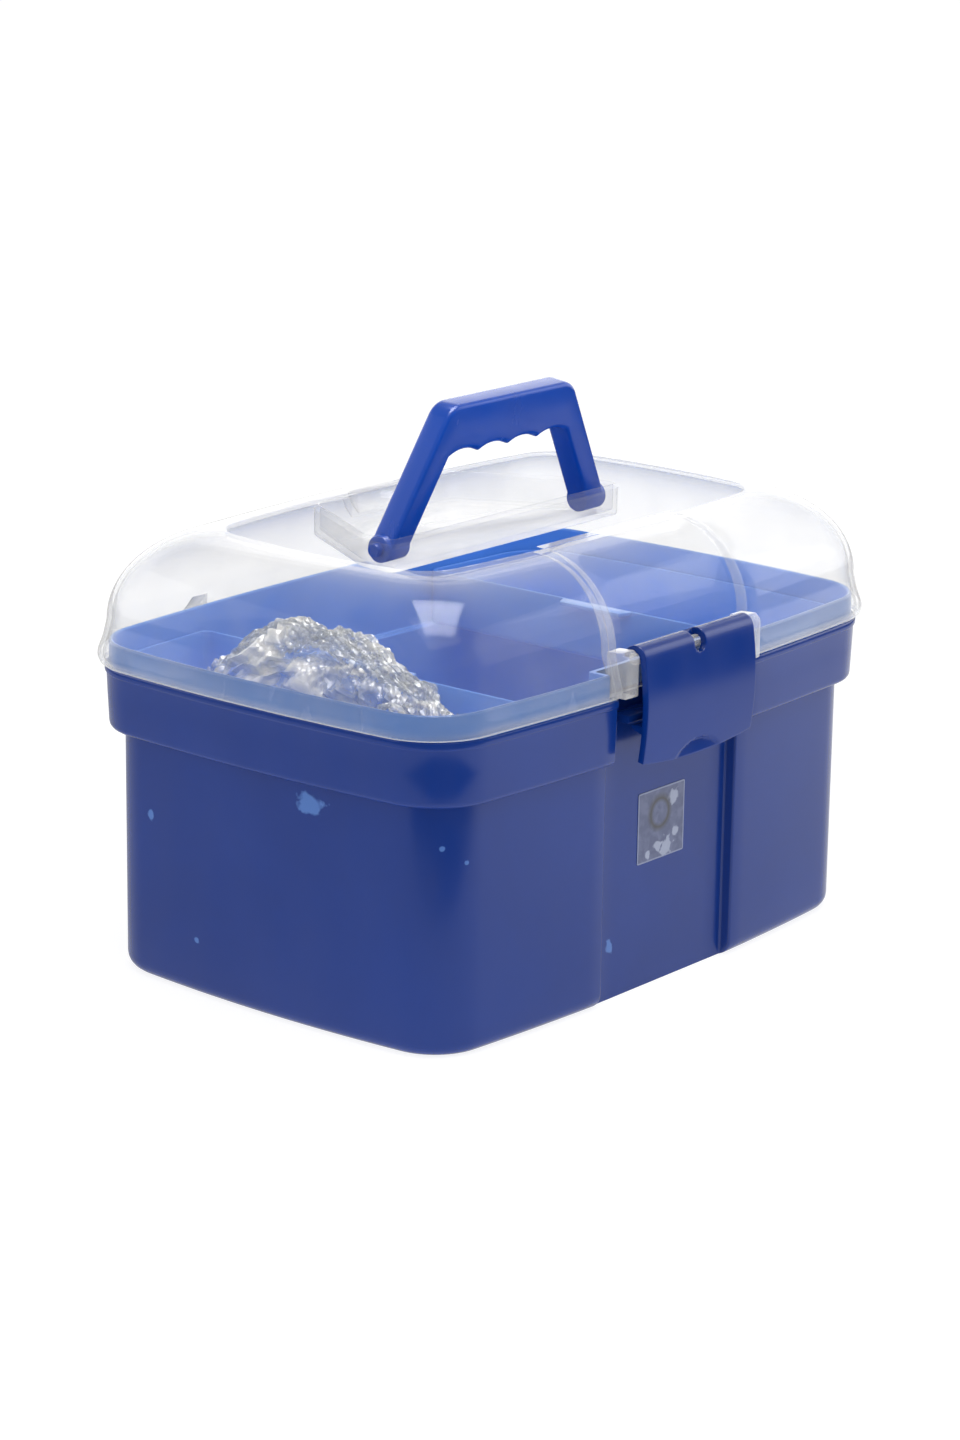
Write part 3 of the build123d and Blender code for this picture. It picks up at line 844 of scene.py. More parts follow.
@dataclass
class Lid:
    """The clear lid: rolled hem, domed sides, front channel, and the handle's recess."""

    hem: float = 138.6
    hem_height: float = 18.4
    bulge: float = 1.3
    neck_inset: float = 2.5
    dome: float = 39.0
    wall: float = 2.0
    hem_corner: float = 31.9
    crown_corner: float = 20.0
    channel_half: float = 46.0
    channel_depth: float = 6.0
    recess_floor: float = 183.3
    scoop_floor: float = 187.0
    recess_front: float = -8.5
    recess_shoulder: float = 7.0
    recess_back: float = 61.5
    recess_wide: float = 76.4
    recess_narrow: float = 45.4
    scoop_y: float = 58.5
    scoop_radius: float = 19.0

    def _channel_face(self, height: float, wall: float) -> float:
        """Y of the channel's face at a height, for the surface set in by a wall."""
        neck = self.hem + self.hem_height
        face = -(PLAN.half_width - self.channel_depth) + wall
        neck_y = -(PLAN.half_width - self.neck_inset - self.channel_depth) + wall
        if height <= neck:
            low = self.hem + self.hem_height / 2
            share = min(1.0, max(0.0, (height - low) / (neck - low)))
            return face + (neck_y - face) * share * share * (3 - 2 * share)
        radius = self.dome - wall
        rise = min(height - neck, radius)
        return neck_y - wall + self.dome - sqrt(max(0.0, radius**2 - rise**2))

    def _rows(self, wall: float) -> list[tuple[float, float, float]]:
        """Height, inset and corner radius up the lid.

        Args:
            wall: how far the surface is set in.

        Returns:
            The rows from the hem's bottom to the flat top.
        """
        neck = self.hem + self.hem_height
        keys = [(self.hem, 0.0), (self.hem + 0.22 * self.hem_height, -self.bulge),
                (self.hem + 0.6 * self.hem_height, 0.35 * self.neck_inset),
                (neck, self.neck_inset)]
        rows = [(height, inset + wall, self.hem_corner - inset - wall)
                for height, inset in blend_rows(keys, 4)]
        radius = self.dome - wall
        corner = self.hem_corner - self.neck_inset - wall
        for step in range(1, 19):
            turn = radians(5 * step)
            inset = self.neck_inset + self.dome - radius * cos(turn)
            rows.append((neck + radius * sin(turn), inset,
                         corner + (self.crown_corner - wall - corner) * (1 - cos(turn))))
        return rows

    def _lid_row(self, skin: Skin, row: tuple[float, float, float], wall: float) -> None:
        """Grow one row of the lid, with its channel."""
        height, inset, corner = row
        notch = Notch(self.channel_half + wall, self._channel_face(height, wall))
        skin.row(PLAN.ring(inset, inset, corner, notch), height)

    def _recess_ring(self, grow: float, scoop: float) -> list[Point2]:
        """The recess's outline with its finger scoop at the back.

        Args:
            grow: how far the outline is grown.
            scoop: how far the scoop reaches past the recess's back.

        Returns:
            The outline's points, always the same number.
        """
        wide, narrow = self.recess_wide + grow, self.recess_narrow + grow
        front, back = self.recess_front - grow, self.recess_back + grow
        mouth = 18.8 + grow
        corners = [(wide, front), (wide, self.recess_shoulder), (narrow, back)]
        bends = (2.0 + grow, 6.0, 3.0 + grow)
        points: list[Point2] = [(0.0, front), (wide / 2, front)]
        lead = [(0.0, front), *corners, (mouth, back)]
        for i, bend in enumerate(bends):
            before, at, after = (Vector(p) for p in lead[i:i + 3])
            first = at + (before - at).normalized() * bend
            last = at + (after - at).normalized() * bend
            for k in range(5):
                t = k / 4
                spot = first * (1 - t)**2 + at * 2 * t * (1 - t) + last * t**2
                points.append((spot.x, spot.y))
        points += [((narrow + mouth) / 2, back)]
        for k in range(13):
            turn = radians(90 * k / 12)
            points.append((mouth * cos(turn), back + max(scoop, 0.02) * sin(turn)))
        return points + [(-x, y) for x, y in reversed(points[1:-1])]

    def _recess(self, bm: bmesh.types.BMesh, wall: float) -> list[bmesh.types.BMEdge]:
        """Sink the recess from the flat top.

        Args:
            bm: the lid's mesh.
            wall: how far under the outer surface this skin lies.

        Returns:
            The recess's upper edge loop.
        """
        top = self.hem + self.hem_height + self.dome - wall
        floor, shelf = self.recess_floor - wall, self.scoop_floor - wall
        reach = self.scoop_y + self.scoop_radius - self.recess_back
        lip = 0.9 if wall == 0 else 0.4
        rows: list[tuple[float, float, float]] = []
        for step in range(4):
            turn = radians(30 * step)
            rows.append((top - lip * (1 - cos(turn)), lip * (1 - sin(turn)), 1.0))
        for share in (0.2, 0.4, 0.6, 0.75, 0.87, 0.95, 1.0):
            height = top - lip - (top - lip - shelf) * share
            rows.append((height, 0.0, sqrt(1 - share**2.2) if share < 1 else 0.0))
        rows += [(floor + 1.5, 0.0, 0.0), (floor + 0.45, -0.45, 0.0), (floor, -1.5, 0.0)]
        skin = Skin(len(self._recess_ring(0.0, reach)), bm)
        rim = []
        for height, grow, scoop in rows:
            skin.row(self._recess_ring(wall + grow, reach * scoop), height)
            rim = rim or list(skin.edges)
        skin.cap()
        return rim

    def _shell(self) -> bmesh.types.BMesh:
        """The lid's whole skin, inside and out."""
        inner, outer = self._rows(self.wall), self._rows(0.0)
        skin = Skin(len(PLAN.ring(0, 0, self.hem_corner)))
        for row in reversed(inner):
            self._lid_row(skin, row, self.wall)
            if row == inner[-1]:
                inner_rim = list(skin.edges)
        height, _, corner = outer[0]
        skin.row(PLAN.ring(1.6, 1.6, corner - 1.6, Notch(self.channel_half + 1.6, self._channel_face(height, 1.6))),
                 height - 0.0)
        skin.row(PLAN.ring(0.4, 0.4, corner - 0.4, Notch(self.channel_half + 0.4, self._channel_face(height, 0.4))),
                 height - 0.0)
        for row in ((height + 0.4, -0.05, corner), *outer[1:]):
            self._lid_row(skin, row, 0.0)
        outer_rim = list(skin.edges)
        for rim, wall in ((inner_rim, self.wall), (outer_rim, 0.0)):
            hole = self._recess(skin.bm, wall)
            bmesh.ops.triangle_fill(skin.bm, edges=rim + hole, use_beauty=True,
                                    use_dissolve=False, normal=(0, 0, 1))
        return skin.bm

    def _keep_top_flat(self, mesh: bpy.types.Mesh) -> None:
        """Make the flat top's outline sharp, so that it mirrors as a plane.

        Args:
            mesh: the lid's mesh, in metres.
        """
        low = (self.hem + self.hem_height + self.dome - self.wall - 0.5) * MM
        bm = bmesh.new()
        bm.from_mesh(mesh)
        for edge in bm.edges:
            flat = [abs(f.normal.z) > 0.99999 and f.calc_center_median().z > low
                    for f in edge.link_faces]
            if len(flat) == 2 and flat[0] != flat[1]:
                edge.smooth = False
        bm.to_mesh(mesh)
        bm.free()

    def build(self, material: bpy.types.Material, boss_material: bpy.types.Material,
              edge_highlight_material: bpy.types.Material) -> None:
        """Make the lid's pieces.

        Args:
            material: the clear plastic.
            edge_highlight_material: a whiter, milkier copy of the same plastic where it is seen through its
                thickness; partly the plastic's own milk, partly painted highlight.
            boss_material: the paler, thicker clear plastic.
        """
        bm = self._shell()
        for face in bm.faces:
            spot = face.calc_center_median()
            channel_wall = (abs(abs(spot.x) - self.channel_half) < 2.6 and spot.y < -60.0
                            and abs(face.normal.x) > 0.5)
            # faces seen through the wall's thickness take the whiter copy: partly milk, partly painted highlight
            # for the bright edges
            if channel_wall or spot.z < self.hem + 0.3:
                face.material_index = 1
        shell = finish_piece("lid_shell", bm, "lid", material, "lid")
        shell.data.materials.append(edge_highlight_material)
        self._keep_top_flat(shell.data)

        bm = bmesh.new()
        for side in Side:
            start, end = sorted((side.value * 38.8, side.value * 47.6))
            prism(bm, [(-102.2, 139.2), (-111.7, 139.0), (-111.7, 154.5), (-111.2, 156.6),
                       (-108.9, 158.5), (-101.0, 158.0)], start, end, 0.5, 3)
        rod(bm, -108.96, 154.5, 2.6, -39.2, 39.2)
        finish_piece("lid_bosses", bm, "lid", boss_material)

        bm = bmesh.new()
        for side in Side:
            middle = side.value * 72.0
            eye = [(113.7 + 3.0 * cos(radians(a)), 141.0 + 3.0 * sin(radians(a)))
                   for a in range(-90, 91, 15)]
            prism(bm, [(108.5, 139.0), *eye, (107.7, 151.5)], middle - 5.0, middle + 5.0, 0.3)
        # the knuckles take the painted-highlight copy too
        finish_piece("lid_knuckles", bm, "lid", edge_highlight_material)


# ---- Handle -----------------------------------------------------------------------------


@dataclass
class Handle:
    """The folding handle: two splayed legs and a grip with finger hollows."""

    rise: float = 59.0
    foot: float = 74.9
    splay: float = 29.7
    leg: float = 14.2
    thickness: float = 12.0
    edge_round: float = 2.2
    lean: float = 6.5
    grip_depth: float = 22.6
    grip_corner: float = 10.0
    fingers: int = 4
    pitch: float = 20.0
    finger_depth: float = 2.3
    pivot: Point2 = (1.0, 189.8)
    pin: float = 3.0

    def _outline(self) -> list[Point2]:
        """The bail's outline, X and the distance up the legs, anticlockwise."""
        slope = tan(radians(self.splay))
        low = self.rise - self.grip_depth
        half = self.fingers * self.pitch / 2
        top = self.foot - slope * self.rise
        right: list[Point2] = [(self.foot - self.leg, 0.0), (self.foot, 0.0)]
        for k in range(1, 4):
            right.append((self.foot - slope * low * k / 3, low * k / 3))
        corner = Vector((top, self.rise))
        down = (Vector((self.foot, 0.0)) - corner).normalized()
        turn = (pi / 2 + radians(self.splay)) / 2
        trim = self.grip_corner / tan(turn)
        first, last = corner + down * trim, corner + Vector((-trim, 0.0))
        centre = Vector((last.x, self.rise - self.grip_corner))
        right += arc(tuple(centre), tuple(first), tuple(last), 8)
        hollows: list[Point2] = []
        radius = (self.pitch**2 / 4 + self.finger_depth**2) / (2 * self.finger_depth)
        for finger in range(self.fingers):
            start = finger * self.pitch - half
            middle = (start + self.pitch / 2, low + self.finger_depth - radius)
            run = arc(middle, (start, low), (start + self.pitch, low), 8)
            hollows += run if finger == 0 else run[1:]
        left = [(-x, y) for x, y in reversed(right)]
        inner_leg = self.foot - self.leg
        legs_left = [(-inner_leg + (inner_leg - half) * k / 3, low * k / 3) for k in (1, 2)]
        legs_right = [(-x, y) for x, y in reversed(legs_left)]
        return right + left + legs_left + hollows + legs_right

    def build(self, material: bpy.types.Material) -> None:
        """Make the handle.

        Args:
            material: the blue plastic.
        """
        bm = bmesh.new()
        verts = [bm.verts.new((x, 0.0, y)) for x, y in self._outline()]
        face = bm.faces.new(verts)
        grown = bmesh.ops.extrude_face_region(bm, geom=[face], use_keep_orig=True)["geom"]
        moved = [g for g in grown if isinstance(g, bmesh.types.BMVert)]
        bmesh.ops.translate(bm, verts=moved, vec=(0.0, self.thickness, 0.0))
        bmesh.ops.translate(bm, verts=bm.verts, vec=(0.0, -self.thickness / 2, 0.0))
        rims = [e for e in bm.edges if abs(e.verts[0].co.y - e.verts[1].co.y) < 0.01
                and len(e.link_faces) == 2]
        bmesh.ops.bevel(bm, geom=rims, offset=self.edge_round, offset_type="OFFSET", segments=4,
                        profile=0.5, affect="EDGES", material=-1, clamp_overlap=True)
        lean = Matrix.Rotation(radians(self.lean), 3, "X")
        bmesh.ops.rotate(bm, verts=bm.verts, cent=(0, 0, 0), matrix=lean)
        bmesh.ops.translate(bm, verts=bm.verts, vec=(0.0, *self.pivot))
        for side in Side:
            start, end = sorted((side.value * (self.foot - self.leg), side.value * self.foot))
            rod(bm, *self.pivot, self.thickness / 2, start, end, 40, 0.8)
            start, end = sorted((side.value * (self.foot - 1.0), side.value * (self.foot + 3.4)))
            rod(bm, *self.pivot, self.pin, start, end, 28, 0.4)
        finish_piece("handle_bail", bm, "handle", material, "handle", 45.0)


# ---- Latch ------------------------------------------------------------------------------


@dataclass
class Latch:
    """The snap latch: a bowed plate that rolls over the clear bar."""

    width: float = 76.6
    thickness: float = 3.0
    bar: Point2 = (-108.96, 154.5)
    bore: float = 2.66
    low: float = 110.0
    lip: float = 3.0
    bulge: float = 2.0
    notch_half: float = 4.0
    notch_low: float = 151.2
    dent_width: float = 33.0
    dent_height: float = 6.8
    dent_depth: float = 2.4

    def _front_y(self, height: float, foot: float) -> float:
        """Y of the plate's middle at a height."""
        outer = self.bar[0] - self.bore - self.thickness / 2
        share = (self.bar[1] - height) / (self.bar[1] - foot)
        return outer - self.bulge * sin(pi * min(1.0, share)) ** 0.9

    def build(self, material: bpy.types.Material) -> None:
        """Make the latch.

        Args:
            material: the darker blue plastic.
        """
        radius = self.bore + self.thickness / 2
        half = self.width / 2
        roll, rows, columns = 12, 58, 96
        bm = bmesh.new()
        place = bm.verts.layers.int.new("row")
        verts = [bm.verts.new((-half, 0.0, -float(row))) for row in range(roll + rows + 1)]
        for row, vert in enumerate(verts):
            vert[place] = row
        edges = [bm.edges.new(pair) for pair in zip(verts, verts[1:])]
        for _ in range(columns):
            grown = bmesh.ops.extrude_edge_only(bm, edges=edges)["geom"]
            moved = [g for g in grown if isinstance(g, bmesh.types.BMVert)]
            bmesh.ops.translate(bm, verts=moved, vec=(self.width / columns, 0.0, 0.0))
            ends = set(moved)
            edges = [g for g in grown if isinstance(g, bmesh.types.BMEdge)
                     and g.verts[0] in ends and g.verts[1] in ends]
        for vert in bm.verts:
            row, x = vert[place], vert.co.x
            if row <= roll:
                turn = pi * row / roll
                vert.co.y = self.bar[0] + radius * cos(turn)
                vert.co.z = self.bar[1] + radius * sin(turn)
            else:
                foot = self.low - self.lip * (1 - (x / half) ** 2)
                share = (row - roll) / rows
                vert.co.z = self.bar[1] + (foot - self.bar[1]) * share
                vert.co.y = self._front_y(vert.co.z, foot)
        self._cut_notch(bm, place, roll, rows)
        bmesh.ops.recalc_face_normals(bm, faces=bm.faces)
        if sum(f.normal.y for f in bm.faces) > 0:
            bmesh.ops.reverse_faces(bm, faces=bm.faces)
        skin = list(bm.faces)
        outer = {v: v.co + v.normal * self.thickness / 2 for v in bm.verts}
        for vert, spot in outer.items():
            vert.co = spot
        self._dent(bm)
        bmesh.ops.solidify(bm, geom=skin, thickness=self.thickness)
        bmesh.ops.recalc_face_normals(bm, faces=bm.faces)
        rims = [e for e in bm.edges if len(e.link_faces) == 2 and e.calc_face_angle(0.0) > radians(55)]
        bmesh.ops.bevel(bm, geom=rims, offset=0.55, offset_type="OFFSET", segments=2,
                        profile=0.5, affect="EDGES", material=-1, clamp_overlap=True)
        finish_piece("latch_plate", bm, "latch", material, "latch", 40.0)

        bm = bmesh.new()
        prism(bm, [(-114.6, 124.7), (-105.4, 124.7), (-105.4, 123.2), (-114.6, 119.7)],
              -35.0, 35.0, 0.3)
        finish_piece("latch_barb", bm, "latch", material)

    def _cut_notch(self, bm: bmesh.types.BMesh, place: bmesh.types.BMLayerItem, roll: int,
                   rows: int) -> None:
        """Cut the rounded notch that bares the bar, and smooth its edge.

        Args:
            bm: the plate's mesh.
            place: the vertices' row numbers.
            roll: rows round the bar.
            rows: rows down the front.
        """
        def inside(point: Vector, row: int) -> bool:
            centre = self.notch_low + self.notch_half
            if row < roll / 3:
                return False
            if point.z > centre:
                return abs(point.x) < self.notch_half
            return hypot(point.x, point.z - centre) < self.notch_half and point.y < self.bar[0]

        gone = [f for f in bm.faces
                if all(inside(f.calc_center_median(), v[place]) for v in f.verts)]
        bmesh.ops.delete(bm, geom=gone, context="FACES")
        centre = self.notch_low + self.notch_half
        for vert in bm.verts:
            if vert.is_boundary and abs(vert.co.x) < self.notch_half + 1.2 and vert.co.y < self.bar[0] \
                    and self.notch_low - 1.5 < vert.co.z < centre + 0.01:
                dx, dz = vert.co.x, vert.co.z - centre
                reach = hypot(dx, dz) or 1.0
                vert.co.x = dx / reach * self.notch_half
                vert.co.z = centre + dz / reach * self.notch_half
                vert.co.y = self._front_y(vert.co.z, self.low - self.lip) if vert.co.z < self.bar[1] \
                    else vert.co.y

    def _dent(self, bm: bmesh.types.BMesh) -> None:
        """Press the thumb dent into the lower edge of the plate's face."""
        radius = (self.dent_width**2 / 4 + self.dent_height**2) / (2 * self.dent_height)
        foot = self.low - self.lip
        centre = foot + self.dent_height - radius
        for vert in bm.verts:
            reach = hypot(vert.co.x, vert.co.z - centre)
            if reach < radius and vert.co.y < self.bar[0] and vert.co.z < foot + self.dent_height + 1:
                step = min(1.0, (radius - reach) / 0.7)
                rise = min(1.0, max(0.0, (vert.co.z - foot) / self.dent_height))
                vert.co.y += self.dent_depth * step * (0.05 + 0.95 * rise)


# ---- Trays ------------------------------------------------------------------------------


@dataclass
class Tray:
    """A lift-out tray that fills one end of the collar."""

    side: Side
    name: str
    end_inset: float = 6.9
    side_inset: float = 6.0
    corner: float = 25.9
    inner_x: float = 76.1
    inner_corner: float = 5.0
    base: float = 112.0
    height: float = 26.0
    wall: float = 1.6

    def _ring(self, inset: float) -> list[Point2]:
        """The tray's outline, set in."""
        points = PLAN.tray_ring(self.end_inset + inset, self.side_inset + inset,
                                self.corner - inset, self.inner_x + inset,
                                max(self.inner_corner - inset, 0.6))
        if self.side is Side.LEFT:
            points = [(-x, -y) for x, y in points]
        return points

    def build(self, material: bpy.types.Material) -> None:
        """Make the tray.

        Args:
            material: the blue plastic, painted lighter and glowing for the light through its walls.
        """
        top, bend = self.base + self.height, 2.4
        skin = Skin(len(self._ring(0.0)))
        skin.row(self._ring(bend), self.base)
        skin.cap()
        for step in range(1, 6):
            turn = radians(18 * step)
            skin.row(self._ring(bend * (1 - sin(turn))), self.base + bend * (1 - cos(turn)))
        lip = self.wall / 2
        for step in range(5):
            turn = radians(45 * step)
            skin.row(self._ring(lip * (1 - cos(turn))), top - lip * (1 - sin(turn)))
        inner = 1.6
        for step in range(5):
            turn = radians(22.5 * step)
            skin.row(self._ring(self.wall + inner * (1 - cos(turn))),
                     self.base + self.wall + inner * (1 - sin(turn)))
        skin.cap()
        finish_piece(f"{self.name}_shell", skin.bm, self.name, material, self.name)

        bm = bmesh.new()
        sign = self.side.value
        corners = [(self.inner_x + 0.8, -20.0), (70.1, -17.0), (70.1, 17.0),
                   (self.inner_x + 0.8, 20.0)]
        verts = [bm.verts.new((sign * x, y, top - 2.0)) for x, y in corners]
        face = bm.faces.new(verts)
        grown = bmesh.ops.extrude_face_region(bm, geom=[face], use_keep_orig=True)["geom"]
        moved = [g for g in grown if isinstance(g, bmesh.types.BMVert)]
        bmesh.ops.translate(bm, verts=moved, vec=(0.0, 0.0, 1.9))
        bmesh.ops.bevel(bm, geom=list(bm.edges), offset=0.5, offset_type="OFFSET", segments=2,
                        profile=0.5, affect="EDGES", material=-1, clamp_overlap=True)
        finish_piece(f"{self.name}_lip", bm, self.name, material)


# ---- Film pouch -------------------------------------------------------------------------


@dataclass
class FilmPouch:
    """A crumpled clear film pouch lying in the left tray."""

    middle: Point2 = (-114.6, -7.0)
    floor: float = 113.95
    width: float = 112.0
    length: float = 200.0
    heap: tuple[float, float, float] = (27.0, 72.0, 46.0)
    squeeze: float = 0.76
    columns: int = 62
    rows: int = 90
    frames: int = 24
    seed: int = 11

    def _heap(self) -> bpy.types.Object:
        """The lumpy heap that the film settles over."""
        bm = bmesh.new()
        bmesh.ops.create_uvsphere(bm, u_segments=48, v_segments=32, radius=1.0)
        for vert in bm.verts:
            x, y, z = vert.co
            # the heap's top stands towards its back end
            lift = 1.0 - 0.20 * max(0.0, -(y - 0.25)) - 0.55 * max(0.0, y - 0.25)
            wave = 1 + 0.12 * noise.noise(Vector((x * 1.4, y * 1.9, z * 1.2)) + Vector((7.3, 1.2, 4.4)))
            vert.co = (x * self.heap[0] * wave, y * self.heap[1] * wave * (1.12 if y > 0 else 1.0),
                       max(z, -0.02) * self.heap[2] * lift * wave)
        bmesh.ops.translate(bm, verts=bm.verts, vec=(*self.middle, self.floor))
        return self._helper("heap_helper", bm)

    def _walls(self) -> bpy.types.Object:
        """The tray's floor as a collision helper."""
        bm = bmesh.new()
        x, y = self.middle
        bmesh.ops.create_grid(bm, x_segments=2, y_segments=2, size=1.0)
        for vert in bm.verts:
            vert.co = (x + vert.co.x * 60, y + vert.co.y * 110, self.floor - 0.4)
        return self._helper("floor_helper", bm)

    def _helper(self, name: str, bm: bmesh.types.BMesh) -> bpy.types.Object:
        """Make a helper that the film collides with."""
        bmesh.ops.scale(bm, verts=bm.verts, vec=(MM, MM, MM))
        mesh = bpy.data.meshes.new(name)
        bm.to_mesh(mesh)
        bm.free()
        helper = bpy.data.objects.new(name, mesh)
        bpy.context.scene.collection.objects.link(helper)
        helper.modifiers.new("Collision", "COLLISION")
        helper.collision.thickness_outer = 0.001
        helper.collision.cloth_friction = 20.0
        return helper

    def _sheet(self) -> bpy.types.Object:
        """The flat film, gathered a little, with its cut size kept as a rest shape."""
        bm = bmesh.new()
        bmesh.ops.create_grid(bm, x_segments=self.columns, y_segments=self.rows, size=0.5)
        draw = random.Random(self.seed)
        shift = Vector((draw.uniform(0, 50), draw.uniform(0, 50), 0.0))
        cut = [(v.co.x * self.width * MM, v.co.y * self.length * MM, 0.0) for v in bm.verts]
        cx, cy = self.middle
        for vert in bm.verts:
            u, v = vert.co.x, vert.co.y
            x = u * self.width * self.squeeze
            y = v * self.length * self.squeeze
            crumple = noise.noise(Vector((x / 7.0, y / 10.0, 0.3)) + shift) * 2.4 \
                + noise.noise(Vector((x / 15.0, y / 22.0, 2.0)) + shift) * 4.0
            edge = 1 - min(1.0, (hypot(x / 41.0, y / 72.0)) ** 2.2)
            vert.co = (cx + x * 0.86, cy + y,
                       self.floor + 5.0 + 43.0 * max(edge, 0.0) ** 0.8
                       * (1.0 if y > 10 else 1.0 + (y - 10) * 0.004) + crumple)
        bmesh.ops.scale(bm, verts=bm.verts, vec=(MM, MM, MM))
        mesh = bpy.data.meshes.new("film_start")
        bm.to_mesh(mesh)
        bm.free()
        film = bpy.data.objects.new("film_start", mesh)
        bpy.context.scene.collection.objects.link(film)
        film.shape_key_add(name="Basis", from_mix=False)
        rest = film.shape_key_add(name="cut", from_mix=False)
        for point, spot in zip(rest.data, cut):
            point.co = spot
        rest.value = 0.0
        return film

    def _settle(self, film: bpy.types.Object) -> bpy.types.Mesh:
        """Let the film settle over the heap.

        Args:
            film: the gathered film.

        Returns:
            The settled mesh.
        """
        cloth = film.modifiers.new("Cloth", "CLOTH")
        settings = cloth.settings
        settings.quality = 6
        settings.mass = 0.05
        settings.tension_stiffness = 12.0
        settings.compression_stiffness = 12.0
        settings.shear_stiffness = 6.0
        settings.bending_stiffness = 0.02
        settings.air_damping = 2.0
        settings.rest_shape_key = film.data.shape_keys.key_blocks["cut"]
        cloth.collision_settings.distance_min = 0.0008
        cloth.collision_settings.use_self_collision = True
        cloth.collision_settings.self_distance_min = 0.0007
        cloth.point_cache.frame_start = 1
        cloth.point_cache.frame_end = self.frames
        scene = bpy.context.scene
        for step in range(1, self.frames + 1):
            scene.frame_set(step)
        graph = bpy.context.evaluated_depsgraph_get()
        settled = bpy.data.meshes.new_from_object(film.evaluated_get(graph))
        scene.frame_set(1)
        return settled

    def build(self, material: bpy.types.Material) -> None:
        """Make the pouch.

        Args:
            material: the film.
        """
        film = self._sheet()
        helpers = [self._heap(), self._walls()]
        mesh = self._settle(film)
        for helper in helpers:
            bpy.data.objects.remove(helper)
        bpy.data.objects.remove(film)
        self._crease(mesh)
        self._confine(mesh)
        mesh.name = "film_bag"
        mesh.shade_smooth()
        mesh.set_sharp_from_angle(angle=radians(34.0))
        mesh.materials.clear()
        mesh.materials.append(material)
        pouch = bpy.data.objects.new("film_bag", mesh)
        bpy.context.scene.collection.objects.link(pouch)
        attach(pouch, "left_tray")
        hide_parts("film_pouch")
        area = sum(p.area for p in mesh.polygons)
        log.info("film_bag: %d faces, %.4f m2 for a cut of %.4f m2", len(mesh.polygons), area,
                 self.width * self.length * MM * MM)

    def _crease(self, mesh: bpy.types.Mesh) -> None:
        """Give the film its fine sharp creases.

        Args:
            mesh: the film's mesh, in metres.
        """
        bm = bmesh.new()
        bm.from_mesh(mesh)
        bmesh.ops.subdivide_edges(bm, edges=bm.edges, cuts=1, use_grid_fill=True, smooth=0.3)
        bm.normal_update()
        moves = {}
        for vert in bm.verts:
            spot = vert.co / MM
            wide = abs(noise.noise(Vector((spot.x / 15.0, spot.y / 30.0, spot.z / 11.0))))
            fine = abs(noise.noise(Vector((spot.x / 7.0, spot.y / 13.0, spot.z / 5.5 + 9.0))))
            moves[vert] = vert.normal * (0.7 - 2.8 * wide - 0.9 * fine) * MM
        for vert, move in moves.items():
            vert.co += move
        bm.to_mesh(mesh)
        bm.free()

    def _confine(self, mesh: bpy.types.Mesh) -> None:
        """Keep every point of the film inside the tray's bounds and above its floor.

        Args:
            mesh: the film's mesh, in metres.
        """
        low_x, high_x = -0.1500, -0.0782
        low_y, high_y = -0.0960, 0.0960
        for vert in mesh.vertices:
            vert.co.z = max(vert.co.z, (self.floor - 0.1) * MM)
            vert.co.x = min(max(vert.co.x, low_x), high_x)
            vert.co.y = min(max(vert.co.y, low_y), high_y)


# ---- Studio -----------------------------------------------------------------------------


